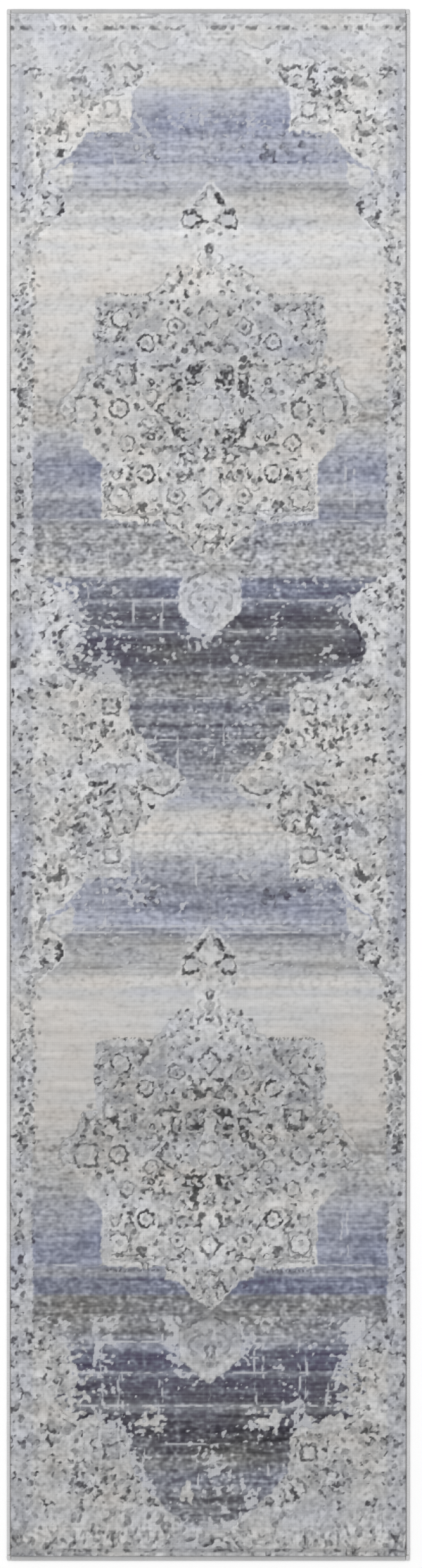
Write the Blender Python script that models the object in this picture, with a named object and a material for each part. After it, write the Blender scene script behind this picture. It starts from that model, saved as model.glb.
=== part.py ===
"""Runner rug: cut pile on a woven ground, a latex back coat, overcast sides and bound ends.

Metres, +Z up. The rug lies flat with its length along Y. Its origin is on the floor, under the
middle of the rug. The layers are stacked from the floor up: back coat, ground weave, pile.
"""

import math

import bmesh
import bpy

# Overall size
RUG_WIDTH = 0.792
RUG_LENGTH = 3.048

# Layers of the cloth
BACK_COAT_THICKNESS = 0.0012
GROUND_THICKNESS = 0.0020
PILE_HEIGHT = 0.0060
PILE_EDGE_ROUNDING = 0.0015

# Gap between two pieces that touch, and between an edge sleeve and the floor
CLEARANCE = 0.0003
FLOOR_GAP = 0.0001

# Side edges: a cord laid along the ground's edge, inside a sleeve of overcasting yarn
OVERCAST_WIDTH = 0.0085
OVERCAST_WALL = 0.0008
EDGE_CORD_DIAMETER = 0.0024
CORNER_TACK_LENGTH = 0.0100
CORNER_TACK_ROUNDING = 0.0040
CORNER_TACK_TIP_SHARE = 0.45

# End edges: a tape folded round the ground's raw end, narrow on the face and wide on the back
BINDING_THICKNESS = 0.0006
BINDING_FACE_WIDTH = 0.0085
BINDING_BACK_WIDTH = 0.0140
BINDING_FOLD_RADIUS = 0.0012
SEAM_THREAD_DIAMETER = 0.0004
BOBBIN_THREAD_THICKNESS = 0.00025
BOBBIN_THREAD_WIDTH = 0.0005
SEAM_END_MARGIN = 0.0040

# Care label on the back, near the foot end: a blank ribbon sewn down along one edge
LABEL_WIDTH = 0.055
LABEL_LENGTH = 0.040
LABEL_THICKNESS = 0.0003
LABEL_CORNER_RADIUS = 0.0030
LABEL_FROM_SIDE = 0.070
LABEL_FROM_END = 0.045
LABEL_FLOOR_GAP = 0.0002
SEWN_STRIP_LENGTH = 0.0020
SEWN_STRIP_GAP = 0.00015

# Facets of round shapes
ELLIPSE_SIDES = 32
CORD_SIDES = 12
THREAD_SIDES = 8
FOLD_STEPS = 5
TIP_STEPS = 5

# Levels, from the floor up
GROUND_BOTTOM = BACK_COAT_THICKNESS + CLEARANCE
GROUND_TOP = GROUND_BOTTOM + GROUND_THICKNESS
GROUND_MIDDLE = (GROUND_BOTTOM + GROUND_TOP) / 2
PILE_BOTTOM = GROUND_TOP + CLEARANCE
LABEL_BOTTOM = LABEL_FLOOR_GAP
LABEL_TOP = LABEL_BOTTOM + LABEL_THICKNESS

# Places along and across the rug
HALF_WIDTH = RUG_WIDTH / 2
HALF_LENGTH = RUG_LENGTH / 2
SLEEVE_X = HALF_WIDTH - OVERCAST_WIDTH / 2
SLEEVE_HALF_HEIGHT = GROUND_MIDDLE - FLOOR_GAP
SLOT_HALF_HEIGHT = GROUND_THICKNESS / 2 + CLEARANCE
LIP_REACH = OVERCAST_WIDTH / 2 * math.sqrt(1 - (SLOT_HALF_HEIGHT / SLEEVE_HALF_HEIGHT) ** 2)
FIELD_HALF_WIDTH = SLEEVE_X - LIP_REACH - CLEARANCE
BETWEEN_TACKS = HALF_WIDTH - OVERCAST_WIDTH - CLEARANCE
SLEEVE_HALF_LENGTH = HALF_LENGTH - CORNER_TACK_LENGTH - CLEARANCE
LABEL_X = LABEL_FROM_SIDE + LABEL_WIDTH / 2 - HALF_WIDTH
LABEL_HINGE_Y = LABEL_FROM_END - HALF_LENGTH

COLOURS = {
    "pile": (0.50, 0.50, 0.53),
    "ground_weave": (0.62, 0.58, 0.50),
    "back_coat": (0.66, 0.61, 0.52),
    "overcast": (0.58, 0.58, 0.58),
    "edge_cord": (0.70, 0.68, 0.62),
    "corner_tack": (0.50, 0.50, 0.51),
    "binding": (0.48, 0.48, 0.49),
    "thread": (0.56, 0.56, 0.57),
    "care_label": (0.85, 0.85, 0.83),
}


def clear_scene():
    for thing in list(bpy.data.objects):
        bpy.data.objects.remove(thing, do_unlink=True)


def fabric_material(name, colour):
    material = bpy.data.materials.new(name)
    material.use_nodes = True
    shader = material.node_tree.nodes["Principled BSDF"]
    shader.inputs["Base Color"].default_value = (*colour, 1.0)
    shader.inputs["Roughness"].default_value = 0.95
    shader.inputs["Metallic"].default_value = 0.0
    return material


def add_object(name, shape, colour, place=(0, 0, 0), smooth=False):
    """One named object from a bmesh, with its own material."""
    bmesh.ops.recalc_face_normals(shape, faces=shape.faces)
    mesh = bpy.data.meshes.new(name)
    shape.to_mesh(mesh)
    shape.free()
    if smooth:
        mesh.shade_smooth()
        mesh.set_sharp_from_angle(angle=math.radians(35))
    mesh.materials.append(fabric_material(name, COLOURS[colour]))
    thing = bpy.data.objects.new(name, mesh)
    thing.location = place
    bpy.context.scene.collection.objects.link(thing)
    return thing


def loft(rings):
    """A closed solid through rings of equal point count, capped at both ends."""
    shape = bmesh.new()
    loops = []
    for ring in rings:
        verts = [shape.verts.new(point) for point in ring]
        loops.append([shape.edges.new((a, b)) for a, b in zip(verts, verts[1:] + verts[:1])])
    for near, far in zip(loops, loops[1:]):
        bmesh.ops.bridge_loops(shape, edges=near + far)
    for end in (loops[0], loops[-1]):
        bmesh.ops.contextual_create(shape, geom=end)
    return shape


def prism(outline, along, start, end):
    """A solid with one outline from start to end. The outline's points are in the other two axes."""
    place = {
        "X": lambda p, q, s: (s, p, q),
        "Y": lambda p, q, s: (p, s, q),
        "Z": lambda p, q, s: (p, q, s),
    }[along]
    return loft([[place(p, q, s) for p, q in outline] for s in (start, end)])


def arc(centre, radii, start, end, steps):
    """Points on an ellipse's arc, from one angle to another, both included."""
    angles = [start + (end - start) * i / steps for i in range(steps + 1)]
    return [
        (centre[0] + radii[0] * math.cos(a), centre[1] + radii[1] * math.sin(a)) for a in angles
    ]


def ellipse(centre, radii, sides):
    return arc(centre, radii, 0, math.tau, sides)[:-1]


def rectangle(low, high):
    return [low, (high[0], low[1]), high, (low[0], high[1])]


def make_pile():
    half_length = HALF_LENGTH - BINDING_FACE_WIDTH - CLEARANCE
    outline = rectangle((-FIELD_HALF_WIDTH, -half_length), (FIELD_HALF_WIDTH, half_length))
    top = PILE_BOTTOM + PILE_HEIGHT
    shape = prism(outline, "Z", PILE_BOTTOM, top)
    middle = (PILE_BOTTOM + top) / 2
    rim = [edge for edge in shape.edges if all(vert.co.z > middle for vert in edge.verts)]
    bmesh.ops.bevel(shape, geom=rim, offset=PILE_EDGE_ROUNDING, segments=3, affect="EDGES", profile=0.5)
    add_object("pile", shape, "pile")


def make_ground_weave():
    """The ground runs into the side sleeves, and is cut back at the corners for the tacks."""
    cord_side = SLEEVE_X - EDGE_CORD_DIAMETER / 2 - CLEARANCE
    end = HALF_LENGTH - BINDING_THICKNESS - CLEARANCE
    quarter = [(cord_side, SLEEVE_HALF_LENGTH), (BETWEEN_TACKS, SLEEVE_HALF_LENGTH), (BETWEEN_TACKS, end)]
    right = [(x, -y) for x, y in reversed(quarter)] + quarter
    outline = right + [(-x, y) for x, y in reversed(right)]
    add_object("ground_weave", prism(outline, "Z", GROUND_BOTTOM, GROUND_TOP), "ground_weave")


def make_back_coat():
    """The coat stops at the binding's back leg, and has a shallow pocket where the label lies."""
    half_length = HALF_LENGTH - BINDING_BACK_WIDTH - CLEARANCE
    outline = rectangle((-FIELD_HALF_WIDTH, -half_length), (FIELD_HALF_WIDTH, half_length))
    coat = add_object("back_coat", prism(outline, "Z", 0, BACK_COAT_THICKNESS), "back_coat")

    half_pocket = LABEL_WIDTH / 2 + CLEARANCE
    pocket_start = LABEL_HINGE_Y - SEWN_STRIP_GAP - SEWN_STRIP_LENGTH - CLEARANCE
    pocket_end = LABEL_HINGE_Y + SEWN_STRIP_GAP + LABEL_LENGTH + CLEARANCE
    outline = rectangle((LABEL_X - half_pocket, pocket_start), (LABEL_X + half_pocket, pocket_end))
    below_coat = -BACK_COAT_THICKNESS
    cutter = add_object("label_pocket", prism(outline, "Z", below_coat, LABEL_TOP + CLEARANCE), "back_coat")
    cutter.hide_render = True
    cutter.display_type = "WIRE"
    cut = coat.modifiers.new("label pocket", "BOOLEAN")
    cut.operation = "DIFFERENCE"
    cut.solver = "EXACT"
    cut.object = cutter


def sleeve_outline(side):
    """A hollow ellipse, open towards the rug where the ground weave enters."""
    outer = (OVERCAST_WIDTH / 2, SLEEVE_HALF_HEIGHT)
    inner = (outer[0] - OVERCAST_WALL, outer[1] - OVERCAST_WALL)
    outer_angle = math.pi - math.asin(SLOT_HALF_HEIGHT / outer[1])
    inner_angle = math.pi - math.asin(SLOT_HALF_HEIGHT / inner[1])
    centre = (0, GROUND_MIDDLE)
    outline = arc(centre, outer, -outer_angle, outer_angle, ELLIPSE_SIDES)
    outline += arc(centre, inner, inner_angle, -inner_angle, ELLIPSE_SIDES)
    return [(side * (SLEEVE_X + x), z) for x, z in outline]


def make_side_edge(side, label):
    reach = SLEEVE_HALF_LENGTH
    sleeve = prism(sleeve_outline(side), "Y", -reach, reach)
    add_object(f"overcast_{label}", sleeve, "overcast", smooth=True)
    radius = EDGE_CORD_DIAMETER / 2
    outline = ellipse((side * SLEEVE_X, GROUND_MIDDLE), (radius, radius), CORD_SIDES)
    add_object(f"edge_cord_{label}", prism(outline, "Y", -reach, reach), "edge_cord", smooth=True)


def make_corner_tack(side, end, label):
    """A knob of tacking yarn that closes the sleeve's end, rounded towards the rug's end."""
    straight = HALF_LENGTH - CORNER_TACK_ROUNDING
    stations = [(HALF_LENGTH - CORNER_TACK_LENGTH, 1.0)]
    for step in range(TIP_STEPS + 1):
        turn = math.pi / 2 * step / TIP_STEPS
        shrink = CORNER_TACK_TIP_SHARE + (1 - CORNER_TACK_TIP_SHARE) * math.cos(turn)
        stations.append((straight + CORNER_TACK_ROUNDING * math.sin(turn), shrink))
    rings = []
    for y, share in stations:
        radii = (OVERCAST_WIDTH / 2 * share, SLEEVE_HALF_HEIGHT * share)
        ring = ellipse((side * SLEEVE_X, GROUND_MIDDLE), radii, ELLIPSE_SIDES)
        rings.append([(x, end * y, z) for x, z in ring])
    add_object(f"corner_tack_{label}", loft(rings), "corner_tack", smooth=True)


def binding_outline(end):
    """The folded tape in section: face leg on top, bend round the raw end, longer back leg."""
    face_z = PILE_BOTTOM + BINDING_THICKNESS
    back_z = GROUND_BOTTOM - CLEARANCE - BINDING_THICKNESS
    outer = BINDING_FOLD_RADIUS
    inner = outer - BINDING_THICKNESS
    bend_y = HALF_LENGTH - outer
    low, high = (bend_y, back_z + outer), (bend_y, face_z - outer)
    quarter = math.pi / 2
    outline = [(HALF_LENGTH - BINDING_BACK_WIDTH, back_z)]
    outline += arc(low, (outer, outer), -quarter, 0, FOLD_STEPS)
    outline += arc(high, (outer, outer), 0, quarter, FOLD_STEPS)
    outline += [(HALF_LENGTH - BINDING_FACE_WIDTH, face_z), (HALF_LENGTH - BINDING_FACE_WIDTH, PILE_BOTTOM)]
    outline += arc(high, (inner, inner), quarter, 0, FOLD_STEPS)
    outline += arc(low, (inner, inner), 0, -quarter, FOLD_STEPS)
    outline += [(HALF_LENGTH - BINDING_BACK_WIDTH, back_z + BINDING_THICKNESS)]
    return [(end * y, z) for y, z in outline]


def make_bound_end(end, label):
    """The binding with its lockstitch: the needle thread on the face, the bobbin thread behind."""
    reach = BETWEEN_TACKS
    binding = prism(binding_outline(end), "X", -reach, reach)
    add_object(f"end_binding_{label}", binding, "binding", smooth=True)

    seam_y = end * (HALF_LENGTH - BINDING_FACE_WIDTH / 2)
    seam_reach = reach - SEAM_END_MARGIN
    radius = SEAM_THREAD_DIAMETER / 2
    needle_z = PILE_BOTTOM + BINDING_THICKNESS + CLEARANCE + radius
    needle = ellipse((seam_y, needle_z), (radius, radius), THREAD_SIDES)
    add_object(f"needle_thread_{label}", prism(needle, "X", -seam_reach, seam_reach), "thread", smooth=True)

    back_z = GROUND_BOTTOM - CLEARANCE - BINDING_THICKNESS
    bobbin_z = back_z - CLEARANCE - BOBBIN_THREAD_THICKNESS / 2
    bobbin_radii = (BOBBIN_THREAD_WIDTH / 2, BOBBIN_THREAD_THICKNESS / 2)
    bobbin = ellipse((seam_y, bobbin_z), bobbin_radii, THREAD_SIDES)
    add_object(f"bobbin_thread_{label}", prism(bobbin, "X", -seam_reach, seam_reach), "thread", smooth=True)


def make_care_label():
    """The flap turns about its sewn edge. Its object's origin is on that hinge line."""
    hinge = (LABEL_X, LABEL_HINGE_Y, LABEL_BOTTOM)
    half = LABEL_WIDTH / 2
    near = SEWN_STRIP_GAP
    far = near + LABEL_LENGTH
    radius = LABEL_CORNER_RADIUS
    outline = [(-half, near), (half, near)]
    outline += arc((half - radius, far - radius), (radius, radius), 0, math.pi / 2, FOLD_STEPS)
    outline += arc((radius - half, far - radius), (radius, radius), math.pi / 2, math.pi, FOLD_STEPS)
    add_object("care_label", prism(outline, "Z", 0, LABEL_THICKNESS), "care_label", place=hinge)

    strip = rectangle((-half, -near - SEWN_STRIP_LENGTH), (half, -near))
    add_object("label_stitching", prism(strip, "Z", 0, LABEL_THICKNESS), "thread", place=hinge)


def main():
    clear_scene()
    make_pile()
    make_ground_weave()
    make_back_coat()
    for side, side_name in ((-1, "left"), (1, "right")):
        make_side_edge(side, side_name)
        for end, end_name in ((1, "head"), (-1, "foot")):
            make_corner_tack(side, end, f"{end_name}_{side_name}")
    for end, end_name in ((1, "head"), (-1, "foot")):
        make_bound_end(end, end_name)
    make_care_label()


main()
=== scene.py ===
"""Looks of a runner rug: cut pile with a worn medallion design, overcast sides and bound ends."""

import math

import bpy
import numpy as np
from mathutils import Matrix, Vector


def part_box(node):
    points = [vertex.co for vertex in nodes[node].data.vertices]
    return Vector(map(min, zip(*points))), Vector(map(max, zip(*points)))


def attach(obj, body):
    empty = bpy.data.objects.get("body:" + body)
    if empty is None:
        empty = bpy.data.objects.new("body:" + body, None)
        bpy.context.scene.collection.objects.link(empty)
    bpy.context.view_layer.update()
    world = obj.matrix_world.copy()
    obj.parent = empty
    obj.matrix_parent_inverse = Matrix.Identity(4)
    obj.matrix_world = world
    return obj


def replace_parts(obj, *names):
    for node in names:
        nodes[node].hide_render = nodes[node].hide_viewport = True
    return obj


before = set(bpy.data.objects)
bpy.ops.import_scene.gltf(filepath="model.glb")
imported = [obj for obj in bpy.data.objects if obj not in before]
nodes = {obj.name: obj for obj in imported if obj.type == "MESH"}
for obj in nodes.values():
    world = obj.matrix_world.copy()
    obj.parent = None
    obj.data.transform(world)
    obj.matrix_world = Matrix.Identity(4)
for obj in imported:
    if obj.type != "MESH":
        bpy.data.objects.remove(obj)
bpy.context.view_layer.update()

MM = 0.001


# ------------------------------------------------------------------ the design, in millimetres
REPEAT = 1464.6          # one repeat of the design, along the rug
HALF_WIDTH = 400         # the cartoon reaches this far from the design's middle line
CARTOON_ROWS = 1465
MIDDLE_LINE_X = 3.3      # the design's middle line, right of the rug's middle
FIRST_CROSSING_Y = 1466.1

# Inks: below 0 darkens the ground towards the outline yarn, above 0 lightens it towards ivory.
BLACK, DARK, MID, SOFT, FAINT = -1.0, -0.8, -0.6, -0.4, -0.22
IVORY, PALE, HAZE = 0.95, 0.7, 0.4
LOBE_DEPTH = 0.05        # of a ring with lobes, as a share of its size


class Cartoon:
    """Half of one repeat, drawn on millimetre paper: u out from the middle line, t along."""

    def __init__(self):
        shape = (CARTOON_ROWS, HALF_WIDTH)
        self.ink = np.zeros(shape)
        self.dye = np.zeros(shape)
        self.field = np.zeros(shape)
        self.ornament = np.ones(shape)
        self.strip = np.zeros(shape)
        self.busy = np.full(shape, 0.46)
        self.row_step = REPEAT / CARTOON_ROWS

    def lay(self, middle, reach, distance, ink, on="ink", edge=2.6, strength=1.0):
        """Lays a value over a sheet wherever distance(u, t) is below 0, with a soft edge."""
        columns = np.arange(max(0, int(middle[0] - reach[0] - 3)),
                            min(HALF_WIDTH, int(middle[0] + reach[0] + 4)))
        rows = np.arange(int((middle[1] - reach[1] - 3) / self.row_step),
                         int((middle[1] + reach[1] + 3) / self.row_step) + 1)
        if not len(columns):
            return
        u = columns[None, :] + 0.5
        t = (rows[:, None] + 0.5) * self.row_step
        cover = np.clip(0.5 - distance(u, t) / edge, 0, 1) * strength
        sheet = getattr(self, on)
        where = np.ix_(rows % CARTOON_ROWS, columns)
        sheet[where] += (ink - sheet[where]) * cover

    def spot(self, u0, t0, r, ink, long=1.0, **how):
        self.lay((u0, t0), (r, r * long),
                 lambda u, t: np.hypot(u - u0, (t - t0) / long) - r, ink, **how)

    def spots(self, places, r, ink, **how):
        for u0, t0 in places:
            self.spot(u0, t0, r, ink, **how)

    def ring(self, u0, t0, r, width, ink, lobes=0, **how):
        """A circle's outline, drawn in and out into lobes where a number of them is given."""
        def distance(u, t):
            wave = 1 + LOBE_DEPTH * np.cos(lobes * np.arctan2(t - t0, u - u0)) * (lobes > 0)
            return np.abs(np.hypot(u - u0, t - t0) - r * wave) - width / 2
        reach = r * (1 + LOBE_DEPTH) + width
        self.lay((u0, t0), (reach, reach), distance, ink, **how)

    def block(self, u0, u1, t0, t1, ink, **how):
        """A filled rectangle."""
        middle, half = ((u0 + u1) / 2, (t0 + t1) / 2), ((u1 - u0) / 2, (t1 - t0) / 2)
        self.lay(middle, half, lambda u, t: np.maximum(np.abs(u - middle[0]) - half[0],
                                                       np.abs(t - middle[1]) - half[1]), ink, **how)

    def frame(self, u0, t0, half, width, ink, **how):
        """The outline of a square."""
        self.lay((u0, t0), (half + width, half + width),
                 lambda u, t: np.abs(np.maximum(np.abs(u - u0), np.abs(t - t0)) - half) - width / 2,
                 ink, **how)

    def lozenge(self, u0, t0, ru, rt, width, ink, **how):
        size = ru * rt / math.hypot(ru, rt)
        self.lay((u0, t0), (ru + width, rt + width),
                 lambda u, t: np.abs(np.abs(u - u0) / ru + np.abs(t - t0) / rt - 1) * size - width / 2,
                 ink, **how)

    def line(self, points, width, ink, dashes=0, round_off=2, **how):
        """A curved line of even width; dashes is the length from one dash to the next."""
        course = rounded(points, round_off)
        low, high = course.min(0), course.max(0)

        def distance(u, t):
            nearest = np.full(np.broadcast(u, t).shape, 1e9)
            run = 0.0
            for (ua, ta), (ub, tb) in zip(course, course[1:]):
                du, dt = ub - ua, tb - ta
                length = math.hypot(du, dt)
                share = np.clip(((u - ua) * du + (t - ta) * dt) / max(length ** 2, 1e-6), 0, 1)
                gap = np.hypot(u - ua - share * du, t - ta - share * dt)
                if dashes:
                    gap = gap + width * (np.cos((run + share * length) * 2 * math.pi / dashes) > 0)
                nearest = np.minimum(nearest, gap)
                run += length
            return nearest - width / 2
        self.lay((low + high) / 2, (high - low) / 2 + width, distance, ink, **how)

    def area(self, points, ink, round_off=1, **how):
        """A filled shape with the given corners."""
        corners = rounded(list(points) + [points[0]], round_off)
        low, high = corners.min(0), corners.max(0)

        def distance(u, t):
            nearest = np.full(np.broadcast(u, t).shape, 1e9)
            within = np.zeros(nearest.shape, bool)
            for (ua, ta), (ub, tb) in zip(corners, corners[1:]):
                du, dt = ub - ua, tb - ta
                share = np.clip(((u - ua) * du + (t - ta) * dt) / max(du * du + dt * dt, 1e-6), 0, 1)
                nearest = np.minimum(nearest, np.hypot(u - ua - share * du, t - ta - share * dt))
                if abs(dt) > 1e-9:
                    within ^= ((ta > t) != (tb > t)) & (u < du * (t - ta) / dt + ua)
            return np.where(within, -nearest, nearest)
        self.lay((low + high) / 2, (high - low) / 2, distance, ink, **how)

    def rosette(self, u0, t0, r, ink=DARK, lobes=8, core=SOFT, halo=HAZE):
        """A small lobed flower with a pale halo."""
        self.spot(u0, t0, r * 1.32, halo)
        self.spot(u0, t0, r * 0.84, PALE)
        self.ring(u0, t0, r * 0.84, r * 0.34, ink, lobes=lobes)
        self.spot(u0, t0, r * 0.38, core, edge=5)
        self.ring(u0, t0, r * 0.5, r * 0.12, FAINT, lobes=6)


def rounded(points, rounds):
    """Cuts the corners off a line, so that it runs as a curve between the same ends."""
    course = np.asarray(points, float)
    for _ in range(rounds):
        a, b = course[:-1], course[1:]
        cut = np.stack([a * 0.75 + b * 0.25, a * 0.25 + b * 0.75], axis=1).reshape(-1, 2)
        course = np.concatenate([course[:1], cut, course[-1:]])
    return course


# ------------------------------------------------------------------ parts of the design
SHOULDER = [(0, -6), (40, -5), (52, 8), (64, 26), (84, 34), (96, 52), (112, 64), (124, 80), (138, 90),
            (154, 104), (156, 184), (243, 186), (252, 200), (268, 220), (286, 238), (306, 252), (324, 264),
            (312, 282), (298, 300), (284, 312), (284, 338), (294, 352), (310, 366), (326, 382), (345, 402),
            (345, 420), (0, 420)]
FLANK = [(0, 1046), (345, 1046), (322, 1064), (300, 1080), (280, 1100), (276, 1122), (284, 1146),
         (292, 1162), (306, 1182), (306, 1204), (296, 1226), (272, 1248), (232, 1262), (206, 1268),
         (182, 1264), (165, 1272), (156, 1290), (158, 1320), (152, 1350), (132, 1374), (120, 1394),
         (100, 1406), (88, 1424), (62, 1440), (50, 1456), (34, 1466), (0, 1466)]

BODY = [(0, 422), (30, 440), (48, 452), (80, 465), (96, 488), (118, 502), (205, 502), (226, 508),
        (228, 600), (222, 640), (250, 645), (265, 690), (285, 700), (300, 730), (285, 745), (270, 762),
        (250, 776), (248, 800), (232, 815), (212, 836), (214, 946), (120, 952), (90, 946), (86, 972),
        (60, 978), (50, 992), (34, 1008), (0, 1034)]
OPEN_GROUND = [(0, 376), (318, 376), (345, 402), (345, 1046), (0, 1046)]


def field_outline(c):
    c.area(SHOULDER, 1.0, on="field", round_off=0)
    c.area(FLANK, 1.0, on="field", round_off=0)
    for outline in (SHOULDER, FLANK, OPEN_GROUND):
        c.area(outline, 0.0, on="ornament", round_off=0)
    c.area(BODY, 1.0, on="ornament", round_off=0)
    c.block(348, 420, -20, REPEAT + 20, 1.0, on="strip")


# Where the worked ground is crowded with small dark leaves (above 0.35) or calm (below).
CROWDED = [(175, 550, 44, 0.75), (140, 610, 44, 0.75), (60, 530, 44, 0.7), (200, 660, 40, 0.65),
           (237, 78, 34, 1.0), (290, 84, 26, 0.9), (242, 1357, 40, 0.95), (296, 1240, 26, 0.6),
           (170, 60, 26, 0.75), (210, 20, 34, 0.6), (120, 1400, 30, 0.55), (180, 1400, 40, 0.45),
           (300, 140, 40, 0.5), (300, 330, 26, 0.5), (18, 664, 34, 0.85), (70, 678, 26, 0.7),
           (40, 780, 34, 0.8), (70, 728, 30, 0.7), (175, 728, 34, 0.5), (20, 500, 30, 0.65),
           (70, 840, 34, 0.6), (40, 960, 30, 0.6), (28, 1080, 30, 0.85), (20, 1130, 26, 0.8),
           (30, 356, 26, 0.6)]
CALM = [(120, 40, 22, 0.1), (195, 140, 26, 0.15), (194, 1312, 26, 0.15), (0, 728, 44, 0.15),
        (150, 1440, 34, 0.15), (284, 290, 26, 0.1), (255, 1170, 24, 0.1), (330, 640, 30, 0.2),
        (110, 0, 30, 0.0), (240, 1300, 26, 0.15), (60, 620, 26, 0.2), (120, 640, 24, 0.2)]


def small_leaves(c):
    """Fills the worked ground with small leaf marks, the same on both sides of the middle line."""
    c.block(346, 400, -20, REPEAT + 20, 0.42, on="busy", edge=8)
    c.area(BODY, 0.52, on="busy")
    for u0, t0, r, amount in CROWDED + CALM:
        c.spot(u0, t0, r, amount, on="busy", edge=16)
    leaves = grain(c.ink.shape, 2.7, 2.7, 21) + 0.5 * grain(c.ink.shape, 9, 9, 23)
    stems = grain(c.ink.shape, 4.4, 4.4, 22)
    crowd = leaves + 1.3 * (c.busy - 0.35)
    marks = -0.9 * ramp(crowd, 0.85, 1.9) - 0.26 * ramp(-np.abs(stems), -0.15, -0.02) \
        + 0.55 * ramp(-crowd, 0.3, 1.5)
    c.ink += marks * c.ornament


def outline_lines(c):
    c.line(SHOULDER[1:9] + [(152, 104)], 7, IVORY)
    c.line([(159, 98), (161, 140), (158, 182)], 6, IVORY)
    c.line([(150, 100), (149, 140), (151, 180)], 2.5, FAINT)
    c.line([(243, 182)] + SHOULDER[12:17], 8, IVORY)
    c.line(SHOULDER[16:25], 6, IVORY)
    c.line(FLANK[3:7], 10, IVORY)
    c.line([(280, 1122), (290, 1146), (312, 1166), (322, 1184)], 7, IVORY)
    c.line([(318, 1196), (308, 1222), (284, 1246), (250, 1264)], 8, IVORY)
    c.line([(161, 1282), (163, 1306), (160, 1328), (157, 1350)], 7, IVORY)
    c.line(FLANK[19:26], 7, IVORY)


def crossing(c):
    """The leaf and curls on each side of the pinch between two fields."""
    leaf = [(66, -18), (80, -28), (128, -28), (146, -10), (134, 10), (104, 22), (88, 18), (66, 2)]
    c.area(leaf, -0.2, strength=0.6)
    c.area(leaf, -0.35, on="dye")
    c.line([(72, -24), (92, -29), (128, -27), (146, -8), (132, 12)], 5, MID, dashes=19)
    c.line([(62, 4), (74, 14), (88, 22), (104, 22)], 5, DARK)
    c.line([(60, 12), (76, 26), (100, 34)], 5, IVORY)
    c.line([(60, -22), (80, -38), (120, -40)], 5, PALE)
    c.line([(100, -16), (118, -14), (126, -4), (112, 6), (98, 2)], 3, SOFT)
    c.line([(108, 18), (118, 12), (130, 6)], 7, DARK)
    c.spot(84, -4, 7, SOFT)
    c.spot(103, 0, 3, MID)
    c.area([(90, 30), (104, 26), (124, 34), (132, 60), (116, 66), (96, 52)], PALE)
    c.area([(106, 36), (113, 41), (121, 36), (122, 44), (114, 54), (108, 46)], BLACK)
    c.line([(134, 66), (140, 78), (150, 86)], 6, DARK)
    c.line([(156, 20), (144, 18), (137, 30), (137, 45)], 6, DARK)
    c.line([(134, 54), (146, 62), (156, 58), (164, 52)], 8, DARK)
    c.spot(152, 40, 10, PALE)
    c.line([(160, 8), (174, 4), (178, 14), (174, 34)], 6, MID)
    c.line([(150, 12), (166, 6)], 4, SOFT)
    c.line([(206, -3), (214, 2), (234, -2)], 9, BLACK)
    c.line([(196, 8), (207, 22)], 6, BLACK)
    c.line([(194, 34), (204, 38), (210, 40)], 9, DARK)
    c.line([(226, 24), (234, 20), (242, 24)], 6, MID)
    c.line([(248, 30), (262, 50), (276, 66)], 8, SOFT)
    c.spot(262, 50, 5, MID)
    c.spots([(276, -26), (318, -22), (372, -30)], 6, MID)
    c.spots([(167, -12), (212, -30), (300, -40), (284, 30), (356, 44)], 4, SOFT)


def flower_cluster(c, u0, t0, r):
    """A round flower head of many small petals round a pale eye."""
    for i in range(14):
        turn, reach = i * 2.4, r * math.sqrt((i + 0.6) / 14)
        c.spot(u0 + reach * math.cos(turn), t0 + reach * math.sin(turn), 3.6 + i % 3,
               (DARK, HAZE, MID)[i % 3])
    c.spot(u0, t0, r, 0.5, on="dye", edge=8)
    c.spot(u0, t0, 5, HAZE)


def shoulder_flowers(c):
    flower_cluster(c, 237, 78, 36)
    c.line([(206, 56), (194, 62), (192, 82)], 8, DARK)
    c.line([(190, 84), (186, 96), (170, 98), (166, 92)], 6, MID)
    c.line([(194, 100), (212, 108), (226, 118)], 7, DARK)
    c.line([(170, 110), (178, 112), (190, 112)], 5, MID)
    c.spot(252, 88, 6, DARK, long=1.5)
    c.area([(280, 70), (298, 72), (300, 84), (314, 88), (312, 102), (290, 104), (282, 90)], MID,
           strength=0.8)
    c.spots([(262, 116), (306, 116), (246, 122)], 5, SOFT)
    c.spot(195, 140, 27, HAZE, strength=0.35)
    c.frame(194, 140, 14, 7, MID)
    c.line([(182, 152), (196, 156), (206, 152)], 6, DARK)
    c.spot(195, 140, 7, IVORY)
    c.line([(160, 164), (180, 168), (200, 166), (226, 168), (234, 160)], 5, SOFT)
    c.line([(172, 156), (160, 162), (160, 174)], 5, MID)
    c.line([(164, 178), (240, 178)], 5, PALE)
    c.line([(128, 188), (242, 189)], 6, MID, dashes=27)
    c.line([(256, 128), (264, 144), (276, 142), (280, 126)], 6, SOFT)
    c.line([(306, 140), (306, 162), (318, 150)], 6, MID)
    c.line([(284, 166), (278, 190), (284, 200)], 6, MID)
    c.line([(298, 186), (318, 186)], 12, DARK)
    c.spot(258, 190, 6, MID)
    c.spots([(330, 166), (330, 200)], 7, SOFT)
    c.area([(180, 126), (250, 120), (330, 130), (320, 220), (300, 222), (250, 170), (180, 170)], -0.35,
           on="dye", edge=50)
    c.area([(284, 218), (298, 216), (308, 222), (308, 232), (296, 236), (288, 230)], BLACK)
    c.line([(326, 262), (330, 282), (338, 292)], 8, MID)
    c.area([(296, 216), (330, 214), (318, 250), (302, 240)], HAZE, strength=0.5)


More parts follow.
